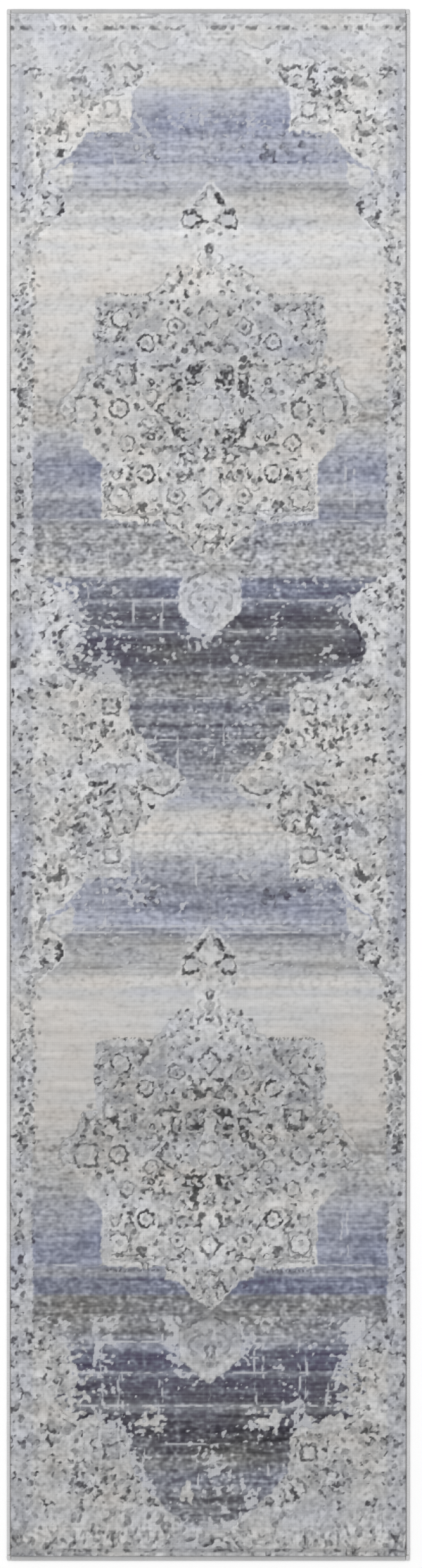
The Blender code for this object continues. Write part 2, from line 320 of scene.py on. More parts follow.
def shoulder_leaves(c):
    c.area([(270, 242), (312, 258), (318, 274), (300, 296), (276, 296), (268, 276)], -0.10, on="field")
    c.area([(256, 278), (266, 268), (278, 272), (276, 296), (252, 298)], PALE)
    c.line([(252, 300), (276, 297), (300, 300)], 4, PALE)
    c.line([(300, 312), (292, 320), (290, 334), (298, 346)], 9, BLACK)
    c.line([(302, 312), (316, 306), (330, 306)], 6, DARK)
    c.spot(342, 322, 14, HAZE, long=1.3)
    c.line([(308, 352), (324, 366), (336, 376), (346, 394)], 9, SOFT)
    c.line([(336, 366), (350, 370), (360, 372)], 6, SOFT)
    c.spots([(318, 222), (330, 250), (334, 420), (356, 418), (374, 408)], 5, SOFT)
    c.spots([(262, 332), (256, 310)], 7, FAINT)
    c.spot(127, 205, 13, HAZE)
    c.spot(127, 203, 8, IVORY)
    c.spots([(110, 212), (142, 214), (116, 224), (152, 222), (105, 232), (180, 208)], 7, MID)
    c.line([(126, 220), (127, 242)], 6, DARK)
    c.spots([(112, 210), (140, 212)], 5, -0.6, on="dye")


def pendant_ground(c, outline, tone, strength):
    """The plain ground of a pendant: worked ground, where the open field would be."""
    c.area(outline, 0.0, on="field", round_off=0)
    c.area(outline, tone, round_off=0, strength=strength)
    c.area(outline, 0.8, on="ornament", round_off=0)


def upper_pendant(c):
    """The small palmette above the medallion, its outline and the thread of ornament below it."""
    outline = [(0, 276), (14, 292), (28, 306), (44, 322), (52, 346), (62, 366), (72, 378), (56, 384),
               (58, 398), (32, 404), (30, 440), (0, 446)]
    pendant_ground(c, outline, 0.10, 0.5)
    c.line([(0, 272), (10, 282), (22, 296)], 7, IVORY)
    c.line([(0, 290), (10, 302), (8, 316)], 6, SOFT)
    c.spot(19, 298, 6, IVORY)
    c.spot(38, 318, 7, IVORY)
    c.line([(13, 308), (20, 320), (26, 324)], 12, BLACK)
    c.area([(28, 334), (48, 334), (49, 347), (36, 347), (28, 345)], BLACK)
    c.line([(8, 358), (24, 346), (30, 344)], 6, BLACK)
    c.line([(8, 358), (22, 362), (30, 371), (50, 371)], 8, BLACK)
    c.line([(49, 340), (54, 356), (51, 370)], 5, DARK)
    c.spot(35, 356, 11, -0.12)
    c.spot(35, 356, 12, 0.5, on="dye")
    c.line([(54, 345), (62, 364), (72, 376)], 6, PALE)
    c.spot(0, 378, 8, SOFT)
    c.spots([(22, 384), (47, 390)], 4, MID)
    c.line([(0, 404), (8, 412), (2, 420)], 7, DARK)
    c.spot(0, 340, 9, HAZE)
    c.line([(18, 424), (24, 436), (16, 444)], 5, SOFT)


def medallion_crown(c):
    c.area(BODY, 1.0, on="field", round_off=0)
    c.line([(0, 428), (8, 434), (0, 450)], 9, DARK)
    c.spots([(42, 447), (35, 480), (80, 465), (24, 500), (60, 450)], 5, DARK)
    c.line([(14, 452), (22, 460), (22, 470)], 6, MID)
    c.line([(58, 472), (68, 478), (76, 494)], 9, MID)
    c.spot(70, 479, 5, IVORY)
    c.line([(44, 498), (46, 512)], 9, BLACK)
    c.line([(30, 508), (40, 517), (50, 508)], 5, PALE)
    c.line([(54, 455), (80, 463), (94, 488), (116, 502)], 3, SOFT)
    c.line([(118, 501), (204, 501)], 4, MID, dashes=8)
    c.spots([(118, 503), (164, 503), (200, 503)], 4, DARK)
    c.line([(120, 510), (200, 510)], 4, PALE, dashes=12)
    c.block(120, 200, 518, 530, SOFT, strength=0.8)
    c.spots([(134, 524), (152, 524), (170, 524), (188, 524)], 4, DARK)
    c.line([(127, 520), (130, 536), (142, 548)], 9, DARK)
    c.line([(207, 506), (207, 604)], 4, MID, dashes=8)
    c.line([(218, 508), (218, 604)], 5, SOFT, dashes=11)
    c.spots([(205, 520), (222, 530)], 4, DARK)
    c.spot(175, 550, 23, HAZE)
    c.ring(175, 550, 19, 6, BLACK, lobes=8)
    c.spot(175, 550, 14, IVORY)
    c.ring(175, 550, 8, 3, SOFT, lobes=6)
    c.line([(156, 569), (202, 569)], 3, MID)
    leaf = [(90, 540), (108, 540), (150, 566), (156, 580), (110, 582), (90, 570)]
    c.area(leaf, -0.3, strength=0.8)
    c.area(leaf, 0.5, on="dye")
    c.spots([(100, 556), (120, 566), (140, 574), (112, 576)], 4, MID)
    c.line([(104, 536), (124, 544), (148, 564)], 5, IVORY)


def medallion_neck(c):
    c.line([(0, 505), (30, 545), (0, 582)], 4, IVORY, round_off=0)
    c.line([(0, 518), (22, 545), (0, 570)], 6, DARK, round_off=0)
    c.lozenge(0, 545, 13, 15, 7, PALE)
    c.spot(0, 545, 5, HAZE)
    c.rosette(67, 566, 18, MID, lobes=8, core=DARK)
    c.rosette(125, 597, 19, BLACK, lobes=10, halo=IVORY)
    c.line([(176, 578), (184, 590), (194, 600)], 7, DARK)
    c.line([(176, 592), (194, 606), (206, 612)], 4, IVORY)
    c.block(150, 196, 606, 628, SOFT, edge=6, strength=0.8)
    c.spots([(158, 612), (172, 620), (186, 612)], 4, DARK)
    c.block(150, 196, 606, 628, 0.6, on="dye")
    c.spots([(40, 580), (44, 536), (96, 520), (92, 600), (28, 596)], 5, MID)
    c.line([(30, 590), (44, 600), (50, 612)], 6, DARK)
    c.spots([(20, 610), (50, 612), (65, 630), (88, 622)], 7, DARK)
    c.line([(0, 620), (12, 630), (30, 626), (44, 634)], 4, PALE)
    c.frame(165, 658, 17, 6, DARK)
    c.spot(165, 658, 10, IVORY)
    c.spot(165, 658, 3.5, MID)
    c.line([(204, 604), (210, 630), (206, 660)], 7, SOFT)
    c.spots([(225, 645), (250, 651), (236, 632), (216, 622)], 6, SOFT)


def medallion_heart(c):
    c.area([(4, 640), (28, 636), (46, 644), (50, 672), (40, 694), (24, 700), (8, 684), (14, 662)], BLACK)
    c.area([(54, 654), (74, 656), (76, 700), (58, 702)], BLACK)
    c.line([(60, 645), (84, 641), (110, 646)], 8, DARK)
    c.line([(0, 640), (12, 652), (20, 664)], 4, PALE)
    c.spots([(40, 664), (64, 664)], 5, PALE)
    c.line([(14, 678), (28, 686), (44, 682)], 4, HAZE)
    c.line([(56, 688), (84, 708), (108, 728), (84, 748), (60, 764)], 5, BLACK, round_off=0)
    c.spots([(66, 700), (70, 728), (96, 728), (64, 752), (84, 712), (84, 744)], 6, DARK)
    c.spot(79, 728, 11, HAZE)
    c.spot(79, 728, 4, SOFT)
    c.spot(0, 728, 47, HAZE)
    for i in range(8):
        turn = math.pi * (i + 0.5) / 8 - math.pi / 2
        petal = (36 * math.cos(turn), 728 + 36 * math.sin(turn))
        c.spot(*petal, 6.5, -0.18)
        c.spot(*petal, 7, 0.5, on="dye")
        c.spot(45 * math.cos(turn + 0.2), 728 + 45 * math.sin(turn + 0.2), 4, DARK)
    c.ring(0, 728, 25, 5, SOFT, lobes=8)
    c.spot(0, 728, 17, PALE)
    c.spots([(10, 705), (10, 748), (45, 700)], 4, DARK)
    c.area([(8, 766), (40, 770), (72, 756), (74, 776), (56, 790), (34, 806), (14, 792)], BLACK)
    c.spots([(55, 780), (28, 780)], 5, PALE)
    c.spots([(115, 675), (115, 781)], 8, BLACK)
    c.spots([(115, 675), (115, 781)], 2.5, PALE)
    c.ring(116, 701, 14, 5, MID, lobes=6)
    c.ring(116, 753, 14, 5, MID, lobes=6)
    c.rosette(178, 728, 21, DARK, lobes=8)
    c.frame(243, 728, 21, 7, DARK)
    c.ring(243, 728, 15, 7, IVORY, lobes=8)
    c.spot(243, 728, 8, FAINT)
    c.rosette(163, 796, 18, DARK, lobes=8)
    c.line([(134, 788), (146, 808), (166, 822), (188, 826), (212, 818), (234, 802)], 5, IVORY)
    c.rosette(125, 855, 19, BLACK, lobes=8)
    c.spots([(222, 680), (220, 771), (196, 760), (198, 694)], 7, DARK)
    c.line([(238, 660), (244, 672), (248, 686)], 6, MID)
    c.line([(250, 646), (264, 688), (284, 700), (300, 729), (284, 746)], 4, SOFT, round_off=1)
    c.line([(266, 760), (250, 776), (248, 800), (232, 815), (211, 835), (215, 852)], 7, IVORY)
    c.spots([(268, 716), (270, 742), (282, 728)], 6, SOFT)
    c.spots([(138, 760), (142, 696), (144, 728), (96, 760), (98, 696), (208, 800), (190, 776)], 5, MID)


def medallion_foot(c):
    c.area([(62, 802), (112, 800), (114, 816), (104, 834), (76, 834), (62, 818)], SOFT, strength=0.6)
    c.line([(62, 804), (110, 803)], 6, DARK)
    c.spot(86, 818, 7, PALE)
    c.line([(114, 797), (134, 799)], 7, DARK)
    c.spots([(38, 857), (60, 858), (16, 846)], 7, DARK)
    c.spots([(28, 832), (48, 836), (4, 826), (86, 868), (150, 836), (96, 884)], 5, MID)
    c.ring(185, 860, 9, 4, MID, lobes=5)
    c.rosette(67, 897, 18, MID, lobes=8, core=DARK)
    c.line([(0, 884), (23, 905), (0, 932)], 7, DARK, round_off=0)
    c.line([(0, 874), (33, 905), (0, 942)], 4, PALE, round_off=0)
    c.lozenge(0, 906, 10, 12, 7, PALE)
    c.spot(133, 917, 9, DARK)
    c.frame(178, 903, 23, 4, MID)
    c.ring(178, 903, 13, 9, IVORY, lobes=8)
    c.ring(178, 903, 20, 4, DARK, lobes=8)
    c.spot(178, 903, 6, SOFT)
    c.line([(95, 925), (115, 937), (196, 936)], 5, SOFT)
    c.line([(140, 943), (196, 943)], 4, PALE)
    c.line([(140, 950), (196, 950)], 3, PALE)
    c.block(121, 133, 941, 953, DARK)
    c.spot(127, 947, 3, IVORY)
    c.line([(100, 956), (202, 956)], 4, MID, dashes=9)
    c.line([(104, 963), (214, 962)], 4, PALE)
    c.line([(212, 850), (212, 942)], 5, IVORY)
    c.line([(205, 852), (205, 942)], 4, MID, dashes=9)
    c.spot(50, 953, 6, DARK)
    c.line([(60, 933), (84, 934), (90, 946), (72, 960), (58, 968), (42, 980)], 5, DARK)
    c.line([(96, 950), (80, 965), (60, 975), (50, 990), (34, 1006), (10, 1030)], 5, PALE)
    c.line([(0, 954), (18, 962), (20, 980), (0, 990)], 5, MID)
    c.spots([(70, 985), (34, 940), (0, 1008)], 6, MID)
    c.spots([(84, 928), (108, 905), (150, 880), (98, 916), (150, 925)], 5, MID)


def lower_pendant(c):
    outline = [(0, 1036), (16, 1042), (52, 1046), (58, 1066), (62, 1100), (58, 1132), (34, 1150),
               (14, 1168), (0, 1178)]
    pendant_ground(c, outline, -0.13, 0.6)
    c.line([(54, 1064), (60, 1090), (57, 1116), (46, 1136), (24, 1152), (2, 1174)], 5, IVORY)
    c.spots([(22, 1065), (38, 1135), (12, 1120)], 5, IVORY)
    c.line([(8, 1048), (30, 1056), (46, 1068)], 5, MID)
    c.line([(14, 1080), (34, 1086), (44, 1104), (30, 1118)], 6, SOFT)
    c.line([(0, 1098), (12, 1108), (4, 1124)], 6, MID)
    c.spots([(0, 1072), (20, 1100), (4, 1140), (48, 1084), (28, 1072), (36, 1120), (16, 1136)], 5, SOFT)


def flank(c):
    """The side panel below the medallion: leaf curls, the small flower and the square rosette."""
    c.area([(256, 1152), (280, 1148), (282, 1180), (262, 1182)], PALE, strength=0.7)
    c.line([(278, 1156), (292, 1162), (294, 1180)], 7, DARK)
    c.spots([(305, 1170), (290, 1190)], 6, DARK)
    c.line([(316, 1160), (320, 1190)], 7, PALE)
    c.line([(153, 1270), (176, 1266), (198, 1270), (220, 1266), (242, 1268)], 6, PALE)
    c.spot(130, 1250, 8, IVORY)
    c.line([(130, 1262), (130, 1284)], 5, HAZE)
    c.spots([(105, 1220), (165, 1250)], 7, PALE)
    c.spot(194, 1312, 27, HAZE, strength=0.7)
    c.frame(194, 1312, 14, 7, DARK)
    c.line([(182, 1300), (196, 1297), (206, 1301)], 6, DARK)
    c.spot(194, 1312, 7, IVORY)
    c.line([(162, 1286), (190, 1284), (228, 1286)], 5, SOFT)
    flower_cluster(c, 242, 1357, 42)
    c.spots([(205, 1360), (232, 1348), (262, 1375), (215, 1390), (240, 1390), (286, 1350)], 6, DARK)
    c.line([(190, 1344), (200, 1352), (214, 1346)], 6, DARK)
    c.line([(140, 1385), (150, 1398), (142, 1416)], 6, MID)
    c.line([(170, 1366), (186, 1378), (186, 1394)], 6, MID)
    c.spot(115, 1410, 9, DARK)
    c.line([(156, 1426), (176, 1434), (204, 1428)], 6, SOFT)
    c.line([(206, 1440), (216, 1450), (236, 1446)], 6, SOFT)
    c.spots([(310, 1258), (285, 1220), (265, 1310), (300, 1290), (280, 1270)], 8, SOFT)
    c.spots([(296, 1240), (262, 1288), (312, 1226), (326, 1330), (306, 1330)], 5, MID)
    c.area([(180, 1290), (330, 1270), (330, 1420), (130, 1420), (180, 1350)], -0.25, on="dye", edge=50)


def side_border(c):
    """The narrow border down each side: two wavering lines of leaf marks, and a few blocks of colour."""
    for i, t in enumerate(range(384, 756, 7)):
        c.spot(353 + 8 * math.sin(i * 2.7), t, 2.4 + 2.2 * abs(math.sin(i * 1.3)), DARK if i % 3 else SOFT)
        if t > 480:
            c.spot(370 + 5 * math.sin(i * 1.9 + 1), t + 3, 2.2 + 2.4 * abs(math.sin(i * 0.9)),
                   MID if i % 2 else DARK)
    c.spot(368, 577, 7, DARK)
    c.block(350, 362, 790, 950, PALE, edge=5)
    c.spots([(372, 805), (372, 865), (371, 890), (373, 940), (372, 975), (376, 905)], 6, DARK)
    c.line([(378, 1080), (379, 1140)], 6, DARK, dashes=16)
    c.line([(378, 1160), (378, 1182)], 6, DARK)
    c.spots([(378, 1220), (370, 1245), (366, 1300)], 6, MID)
    c.line([(372, 60), (372, 300)], 9, FAINT)
    c.block(364, 388, 60, 310, 0.7, on="dye", edge=8)
    for i, t in enumerate(range(14, 1465, 31)):
        c.spot(360 + 9 * math.sin(i * 2.4), t + 6 * math.sin(i * 1.7), 4.0 + (i % 3), SOFT if i % 2 else MID)
        c.spot(342 + 7 * math.sin(i * 1.9 + 1), t + 9, 3.5 + (i % 2), SOFT)


# ------------------------------------------------------------------ yarn colours along the rug
# Each stop: where along the repeat, then how light and how blue the ground is in the first repeat
# and in the second. The field's bands come first, then the worked ground's and the side border's.
FIELD_BANDS = [
    (-50, 128, 12, 128, 12), (-6, 158, 9, 160, 9), (0, 190, 4, 170, 7), (10, 196, 3, 158, 10),
    (20, 194, 4, 178, 8), (28, 198, 4, 160, 12), (36, 198, 4, 174, 8), (58, 202, 1, 190, -3),
    (78, 200, -4, 198, -6), (92, 196, -4, 196, -4), (97, 182, 4, 178, 2), (103, 193, 6, 201, -3),
    (112, 184, 10, 189, 0), (124, 187, 12, 193, 0), (138, 175, 16, 179, 3), (150, 168, 19, 177, 5),
    (156, 151, 22, 167, 10), (162, 161, 22, 175, 8), (170, 153, 24, 169, 10), (190, 163, 17, 157, 13),
    (204, 169, 15, 145, 15), (216, 175, 15, 151, 17), (239, 163, 19, 153, 18), (242, 143, 21, 147, 19),
    (250, 175, 14, 157, 18), (272, 187, 11, 173, 15), (279, 194, 9, 173, 11), (284, 166, 9, 155, 11),
    (291, 184, 6, 169, 9), (296, 158, 6, 137, 9), (305, 180, 3, 157, 6), (325, 198, -2, 169, 3),
    (342, 208, -4, 181, 1), (350, 196, -1, 167, 2), (374, 204, 2, 179, 0), (378, 218, -1, 197, -3),
    (395, 214, -5, 200, -6), (408, 211, 1, 192, 2), (430, 215, -1, 198, -2), (500, 204, -2, 188, 0),
    (512, 186, 1, 172, 2), (590, 184, 1, 170, 2), (620, 184, 2, 166, 1), (700, 187, 0, 166, 0),
    (800, 188, -1, 182, 0), (840, 198, -2, 188, -1), (950, 196, -1, 184, 0), (1034, 196, 0, 185, 1),
    (1036, 174, 3, 138, 5), (1056, 182, 5, 138, 5), (1059, 148, 12, 134, 5), (1066, 126, 17, 140, 5),
    (1080, 124, 19, 142, 6), (1097, 116, 17, 148, 8), (1102, 160, 14, 145, 10), (1107, 154, 13, 146, 11),
    (1111, 124, 14, 130, 14), (1122, 112, 12, 106, 16), (1132, 98, 11, 104, 17), (1150, 94, 10, 98, 16),
    (1157, 96, 10, 142, 11), (1161, 130, 9, 124, 12), (1172, 130, 9, 104, 12), (1180, 102, 9, 98, 12),
    (1205, 92, 8, 94, 10), (1214, 96, 7, 96, 9), (1219, 100, 6, 130, 8), (1232, 108, 6, 118, 9),
    (1240, 128, 6, 80, 9), (1250, 116, 5, 76, 8), (1266, 132, 4, 78, 8), (1278, 142, 4, 76, 7),
    (1290, 138, 6, 84, 7), (1300, 152, 9, 104, 6), (1308, 128, 12, 100, 6), (1316, 128, 14, 114, 6),
    (1326, 150, 12, 118, 6), (1342, 146, 9, 128, 8), (1349, 110, 9, 126, 9), (1356, 134, 9, 136, 11),
    (1366, 142, 9, 118, 12), (1374, 122, 9, 128, 12), (1382, 154, 9, 130, 11), (1398, 118, 9, 126, 10),
    (1408, 142, 9, 110, 9), (1420, 132, 10, 124, 8), (1436, 144, 9, 126, 8), (1458, 144, 8, 134, 6),
    (1466, 164, 7, 150, 6)]
BORDER_BANDS = [
    (-50, 206, 3, 192, 1), (-20, 204, 3, 191, 1), (0, 202, 3, 185, 2), (60, 204, 2, 184, 0),
    (110, 207, 1, 188, -1), (150, 209, 0, 192, -1), (190, 206, 0, 192, 0), (260, 204, 2, 192, 2),
    (320, 200, 2, 186, 2), (380, 211, 1, 194, -1), (430, 214, 0, 199, -2), (500, 205, -5, 194, -5),
    (560, 206, -4, 195, -3), (600, 203, -6, 192, -5), (640, 200, -6, 189, -6), (690, 196, -6, 180, -3),
    (706, 194, -5, 172, -2), (712, 176, -1, 168, -3), (740, 172, -2, 170, -4), (756, 176, 0, 176, 0),
    (770, 190, 3, 174, 1), (786, 176, 8, 168, 3), (800, 172, 10, 166, 4), (822, 160, 14, 160, 8),
    (842, 148, 19, 154, 12), (862, 156, 20, 158, 13), (876, 166, 16, 152, 16), (885, 178, 14, 148, 18),
    (898, 184, 9, 142, 18), (912, 152, 15, 138, 19), (938, 144, 17, 138, 19), (948, 156, 10, 150, 15),
    (956, 164, 6, 156, 10), (966, 166, 5, 150, 12), (972, 160, 6, 128, 20), (1000, 156, 6, 130, 20),
    (1006, 164, 5, 134, 3), (1036, 172, 3, 132, 4), (1048, 172, 4, 134, 4), (1058, 192, 4, 162, 4),
    (1120, 198, 3, 178, 2), (1240, 194, 1, 176, 0), (1330, 190, 0, 172, 0), (1400, 192, 0, 174, 1),
    (1444, 183, 1, 178, 3), (1466, 180, 2, 178, 3)]
STRIP_BANDS = [
    (-60, 200, 3, 178, 5), (60, 194, 3, 172, 4), (150, 190, 5, 170, 6), (300, 191, 5, 172, 7),
    (350, 199, 2, 186, 2), (640, 197, 0, 184, 1), (800, 187, 6, 176, 5), (940, 185, 6, 172, 7),
    (1060, 189, 4, 176, 5), (1160, 183, 6, 174, 6), (1300, 181, 4, 172, 4), (1440, 177, 4, 174, 4),
    (1466, 175, 4, 176, 4)]
# How far single knots stray from the ground's lightness: where along the repeat, then in the open
# field and the worked ground of the first repeat, and in those of the second.
UNEVEN = [
    (-60, 14, 9, 12, 15), (30, 12, 8, 11, 15), (60, 9, 9, 8, 16), (120, 10, 12, 12, 16),
    (180, 13, 13, 12, 15), (240, 12, 13, 12, 15), (300, 9, 11, 10, 14), (376, 7, 10, 7, 13),
    (420, 5.5, 11, 3.4, 14), (600, 5.5, 12, 2.8, 14), (640, 7, 12, 4, 14), (706, 9, 12, 8, 14),
    (715, 16, 12, 14, 14), (760, 14, 12, 13, 13), (800, 12, 12, 11, 13), (950, 12, 12, 12, 14),
    (972, 22, 12, 13, 14), (1004, 22, 12, 14, 14), (1010, 22, 12, 17, 14), (1056, 20, 13, 17, 14),
    (1062, 14, 13, 17, 14), (1110, 14, 14, 14, 14), (1116, 12, 14, 12, 14), (1240, 12, 14, 13, 15),
    (1250, 20, 13, 14, 14), (1295, 17, 12, 17, 14), (1340, 19, 13, 18, 14), (1400, 21, 13, 19, 13),
    (1466, 16, 13, 18, 13)]


def yarn_shade(light, blue):
    """Card colour of a yarn from how light it is and how blue; below 0 it turns to a warm cream."""
    cool, warm = np.maximum(blue, 0), np.maximum(-blue, 0)
    plum = ramp(-light, -114, -92)
    return np.stack([light - (0.42 - 0.34 * plum) * cool + 0.55 * warm,
                     light - (0.22 + 0.06 * plum) * cool,
                     light + (0.64 + 0.16 * plum) * cool - 0.55 * warm], axis=-1)


def grain(shape, along, across, seed):
    """Smooth noise of unit spread; the grain's reach is given along the rug and across it."""
    out = soften(np.random.default_rng(seed).standard_normal(shape), along, across)
    return out / out.std()


def soften(sheet, along, across):
    """The same values, blurred over that reach along and across the rug."""
    rate_y = np.fft.fftfreq(sheet.shape[0])[:, None]
    rate_x = np.fft.rfftfreq(sheet.shape[1])[None, :]
    gate = np.exp(-2 * math.pi ** 2 * ((rate_y * along) ** 2 + (rate_x * across) ** 2))
    return np.fft.irfft2(np.fft.rfft2(sheet) * gate, s=sheet.shape)


def ramp(value, low, high):
    """0 below low, 1 above high, and an eased slope between them."""
    share = np.clip((value - low) / (high - low), 0, 1)
    return share * share * (3 - 2 * share)


def draw_cartoon():
    cartoon = Cartoon()
    for draw in (field_outline, small_leaves, outline_lines, crossing, shoulder_flowers, shoulder_leaves,
                 medallion_crown, upper_pendant, medallion_neck, medallion_heart, medallion_foot,
                 lower_pendant, flank, side_border):
        draw(cartoon)
    return cartoon


def sample(sheet, rows, columns):
    """The cartoon sheet's values at places between its squares; its rows repeat along the rug."""
    r0 = np.floor(rows).astype(int)
    c0 = np.clip(np.floor(columns).astype(int), 0, HALF_WIDTH - 2)
    fr = rows - r0
    fc = np.clip(columns - c0, 0, 1)
    a = sheet[r0 % CARTOON_ROWS, c0] * (1 - fc) + sheet[r0 % CARTOON_ROWS, c0 + 1] * fc
    b = sheet[(r0 + 1) % CARTOON_ROWS, c0] * (1 - fc) + sheet[(r0 + 1) % CARTOON_ROWS, c0 + 1] * fc
    return a * (1 - fr) + b * fr


def along_rug(stops, t_rug, column):
    """Reads one pair of columns of a list of stops, the first repeat's and then the second's."""
    table = np.array(stops, float)
    pair = table.shape[1] // 2
    second = t_rug > REPEAT - 20
    t = np.where(t_rug > 2 * REPEAT - 3, t_rug - 2 * REPEAT, np.where(second, t_rug - REPEAT, t_rug))
    first_value = np.interp(t, table[:, 0], table[:, 1 + column])
    second_value = np.interp(t, table[:, 0], table[:, 1 + column + pair])
    return np.where(second, second_value, first_value)[:, None]


# Bare threads where the rug is worn, in millimetres from the first crossing and the middle of the rug:
# the place along for threads that run across, the place across for the others, then both ends.
CROSSWISE_WEAR = [(1104, -245, 245), (1129, -215, -110), (1166, -180, 230), (1242, -120, 240),
                  (1296, -150, 150), (279, -270, 270), (945, -330, -215), (948, 215, 330),
                  (2621, -270, 280), (2686, -250, 280), (2761, -110, 60), (2560, -300, -60),
                  (1378, -120, 130), (1744, -300, 300), (1756, -300, 300), (2410, -330, 330)]
LENGTHWISE_WEAR = [(-12, 96, 215), (-15, 105, 205), (-19, 110, 200), (-23, 128, 190), (-188, 225, 300),
                   (-184, 235, 290), (-24, 1530, 1690), (-146, 1080, 1150), (-91, 1075, 1160),
                   (-196, 985, 1050), (-235, 985, 1110), (-211, 2570, 2760), (-176, 2610, 2760),
                   (-168, 2620, 2750), (-96, 2590, 2750), (-91, 2600, 2690), (92, 2560, 2700),
                   (108, 2560, 2680), (178, 2560, 2760), (192, 2590, 2770), (232, 2640, 2765),
                   (-60, 1370, 1450), (30, 1350, 1440), (262, 2290, 2400), (275, 2300, 2390),
                   (268, 820, 900), (286, 830, 930), (-20, 2800, 2860), (120, 2760, 2850),
                   (-128, 2770, 2850), (12, 1340, 1452), (-205, 1655, 1760)]
# Places where pale ground has spread over the dark field: middle across and along, then reach.
OVERGROWN = [(-310, 1175, 62, 76), (-300, 1100, 30, 40), (305, 1110, 20, 34), (300, 2655, 42, 70),
             (-300, 2655, 52, 76), (-40, 2860, 12, 20), (240, 2720, 30, 16), (-235, 2725, 30, 18),
             (124, 2714, 22, 22), (-112, 2716, 22, 26)]
IVORY_YARN, BARE_WARP, FADED_YARN = 220, 202, 206     # how light they are, on the 0 to 255 card
# Faded places: middle across and along, reach across and along, how much.
FADED = [(-250, 110, 150, 90, 0.4), (0, -10, 420, 60, 0.2), (-150, 180, 60, 50, 0.5),
         (330, 260, 60, 60, 0.3), (-30, 1400, 60, 40, 0.35), (-230, 1700, 60, 60, 0.35),
         (240, 2340, 60, 60, 0.3)]


def wear_map(x, t_rug, shape):
    """Where bare pale threads show, 0 to 1."""
    broken = ramp(grain(shape, 1.0, 3.0, 81), -0.3, 0.6)
    broken_down = ramp(grain(shape, 2.0, 1.0, 82), -0.2, 0.8)
    sway = 1.2 * grain(shape, 9, 3, 83)
    worn = np.zeros(shape)
    for t, x0, x1 in CROSSWISE_WEAR:
        row = np.clip(1.4 - np.abs(t_rug - t) / 2.0, 0, 1)[:, None]
        ends = (ramp(x, x0 - 8, x0 + 8) * ramp(-x, -x1 - 8, -x1 + 8))[None, :]
        worn = np.maximum(worn, row * ends * broken)
    for x0, t0, t1 in LENGTHWISE_WEAR:
        column = np.clip(1.7 - np.abs(x[None, :] - x0 + sway) / 2.2, 0, 1)
        ends = (ramp(t_rug, t0 - 12, t0 + 12) * ramp(-t_rug, -t1 - 12, -t1 + 12))[:, None]
        worn = np.maximum(worn, column * ends * broken_down)
    return worn


def end_borders(ink, field, x, t_rug, shape):
    """The narrow bands that close the design at the two ends of the rug."""
    marks = ramp(grain(shape, 1.6, 2.2, 91), 0.1, 0.9)
    head = 1 - ramp(t_rug, 38, 58)[:, None]
    ink = ink * (1 - 0.55 * head)
    field = field * (1 - head)
    foot = ramp(t_rug, 2 * REPEAT - 4, 2 * REPEAT + 4)[:, None]
    near = np.exp(-np.abs(x / 105.0) ** 4)[None, :]
    last = ramp(t_rug, 2 * REPEAT - 50, 2 * REPEAT - 24)[:, None] * (1 - field)
    ink = ink * (1 - 0.8 * last) - 0.5 * last * ramp(grain(shape, 2.2, 1.5, 94), 0.3, 1.2)
    field = field * (1 - foot)

    def band(t, half, strength, cover):
        row = np.clip(1.5 - np.abs(t_rug - t) / half, 0, 1)[:, None]
        return -strength * row * cover
    dashes = ramp(grain(shape, 2.0, 1.7, 92), 0.0, 0.7)
    ink = ink - 0.45 * foot * ramp(grain(shape, 2.0, 1.4, 95) + 0.5 * grain(shape, 9, 9, 96), 0.4, 1.5)
    ink = np.minimum(ink, band(-21, 5, 0.75, dashes))
    ink = np.minimum(ink, band(-41, 2.5, 0.4, marks))
    ink = np.minimum(ink, band(2956, 11, 0.85, marks * near))
    ink = np.minimum(ink, band(2970, 4, 0.8, 0.45 + 0.55 * marks))
    ink = np.minimum(ink, band(2975, 6, 0.7, dashes * ramp(grain(shape, 8, 12, 93), 0.2, 0.8)))
    return ink, field


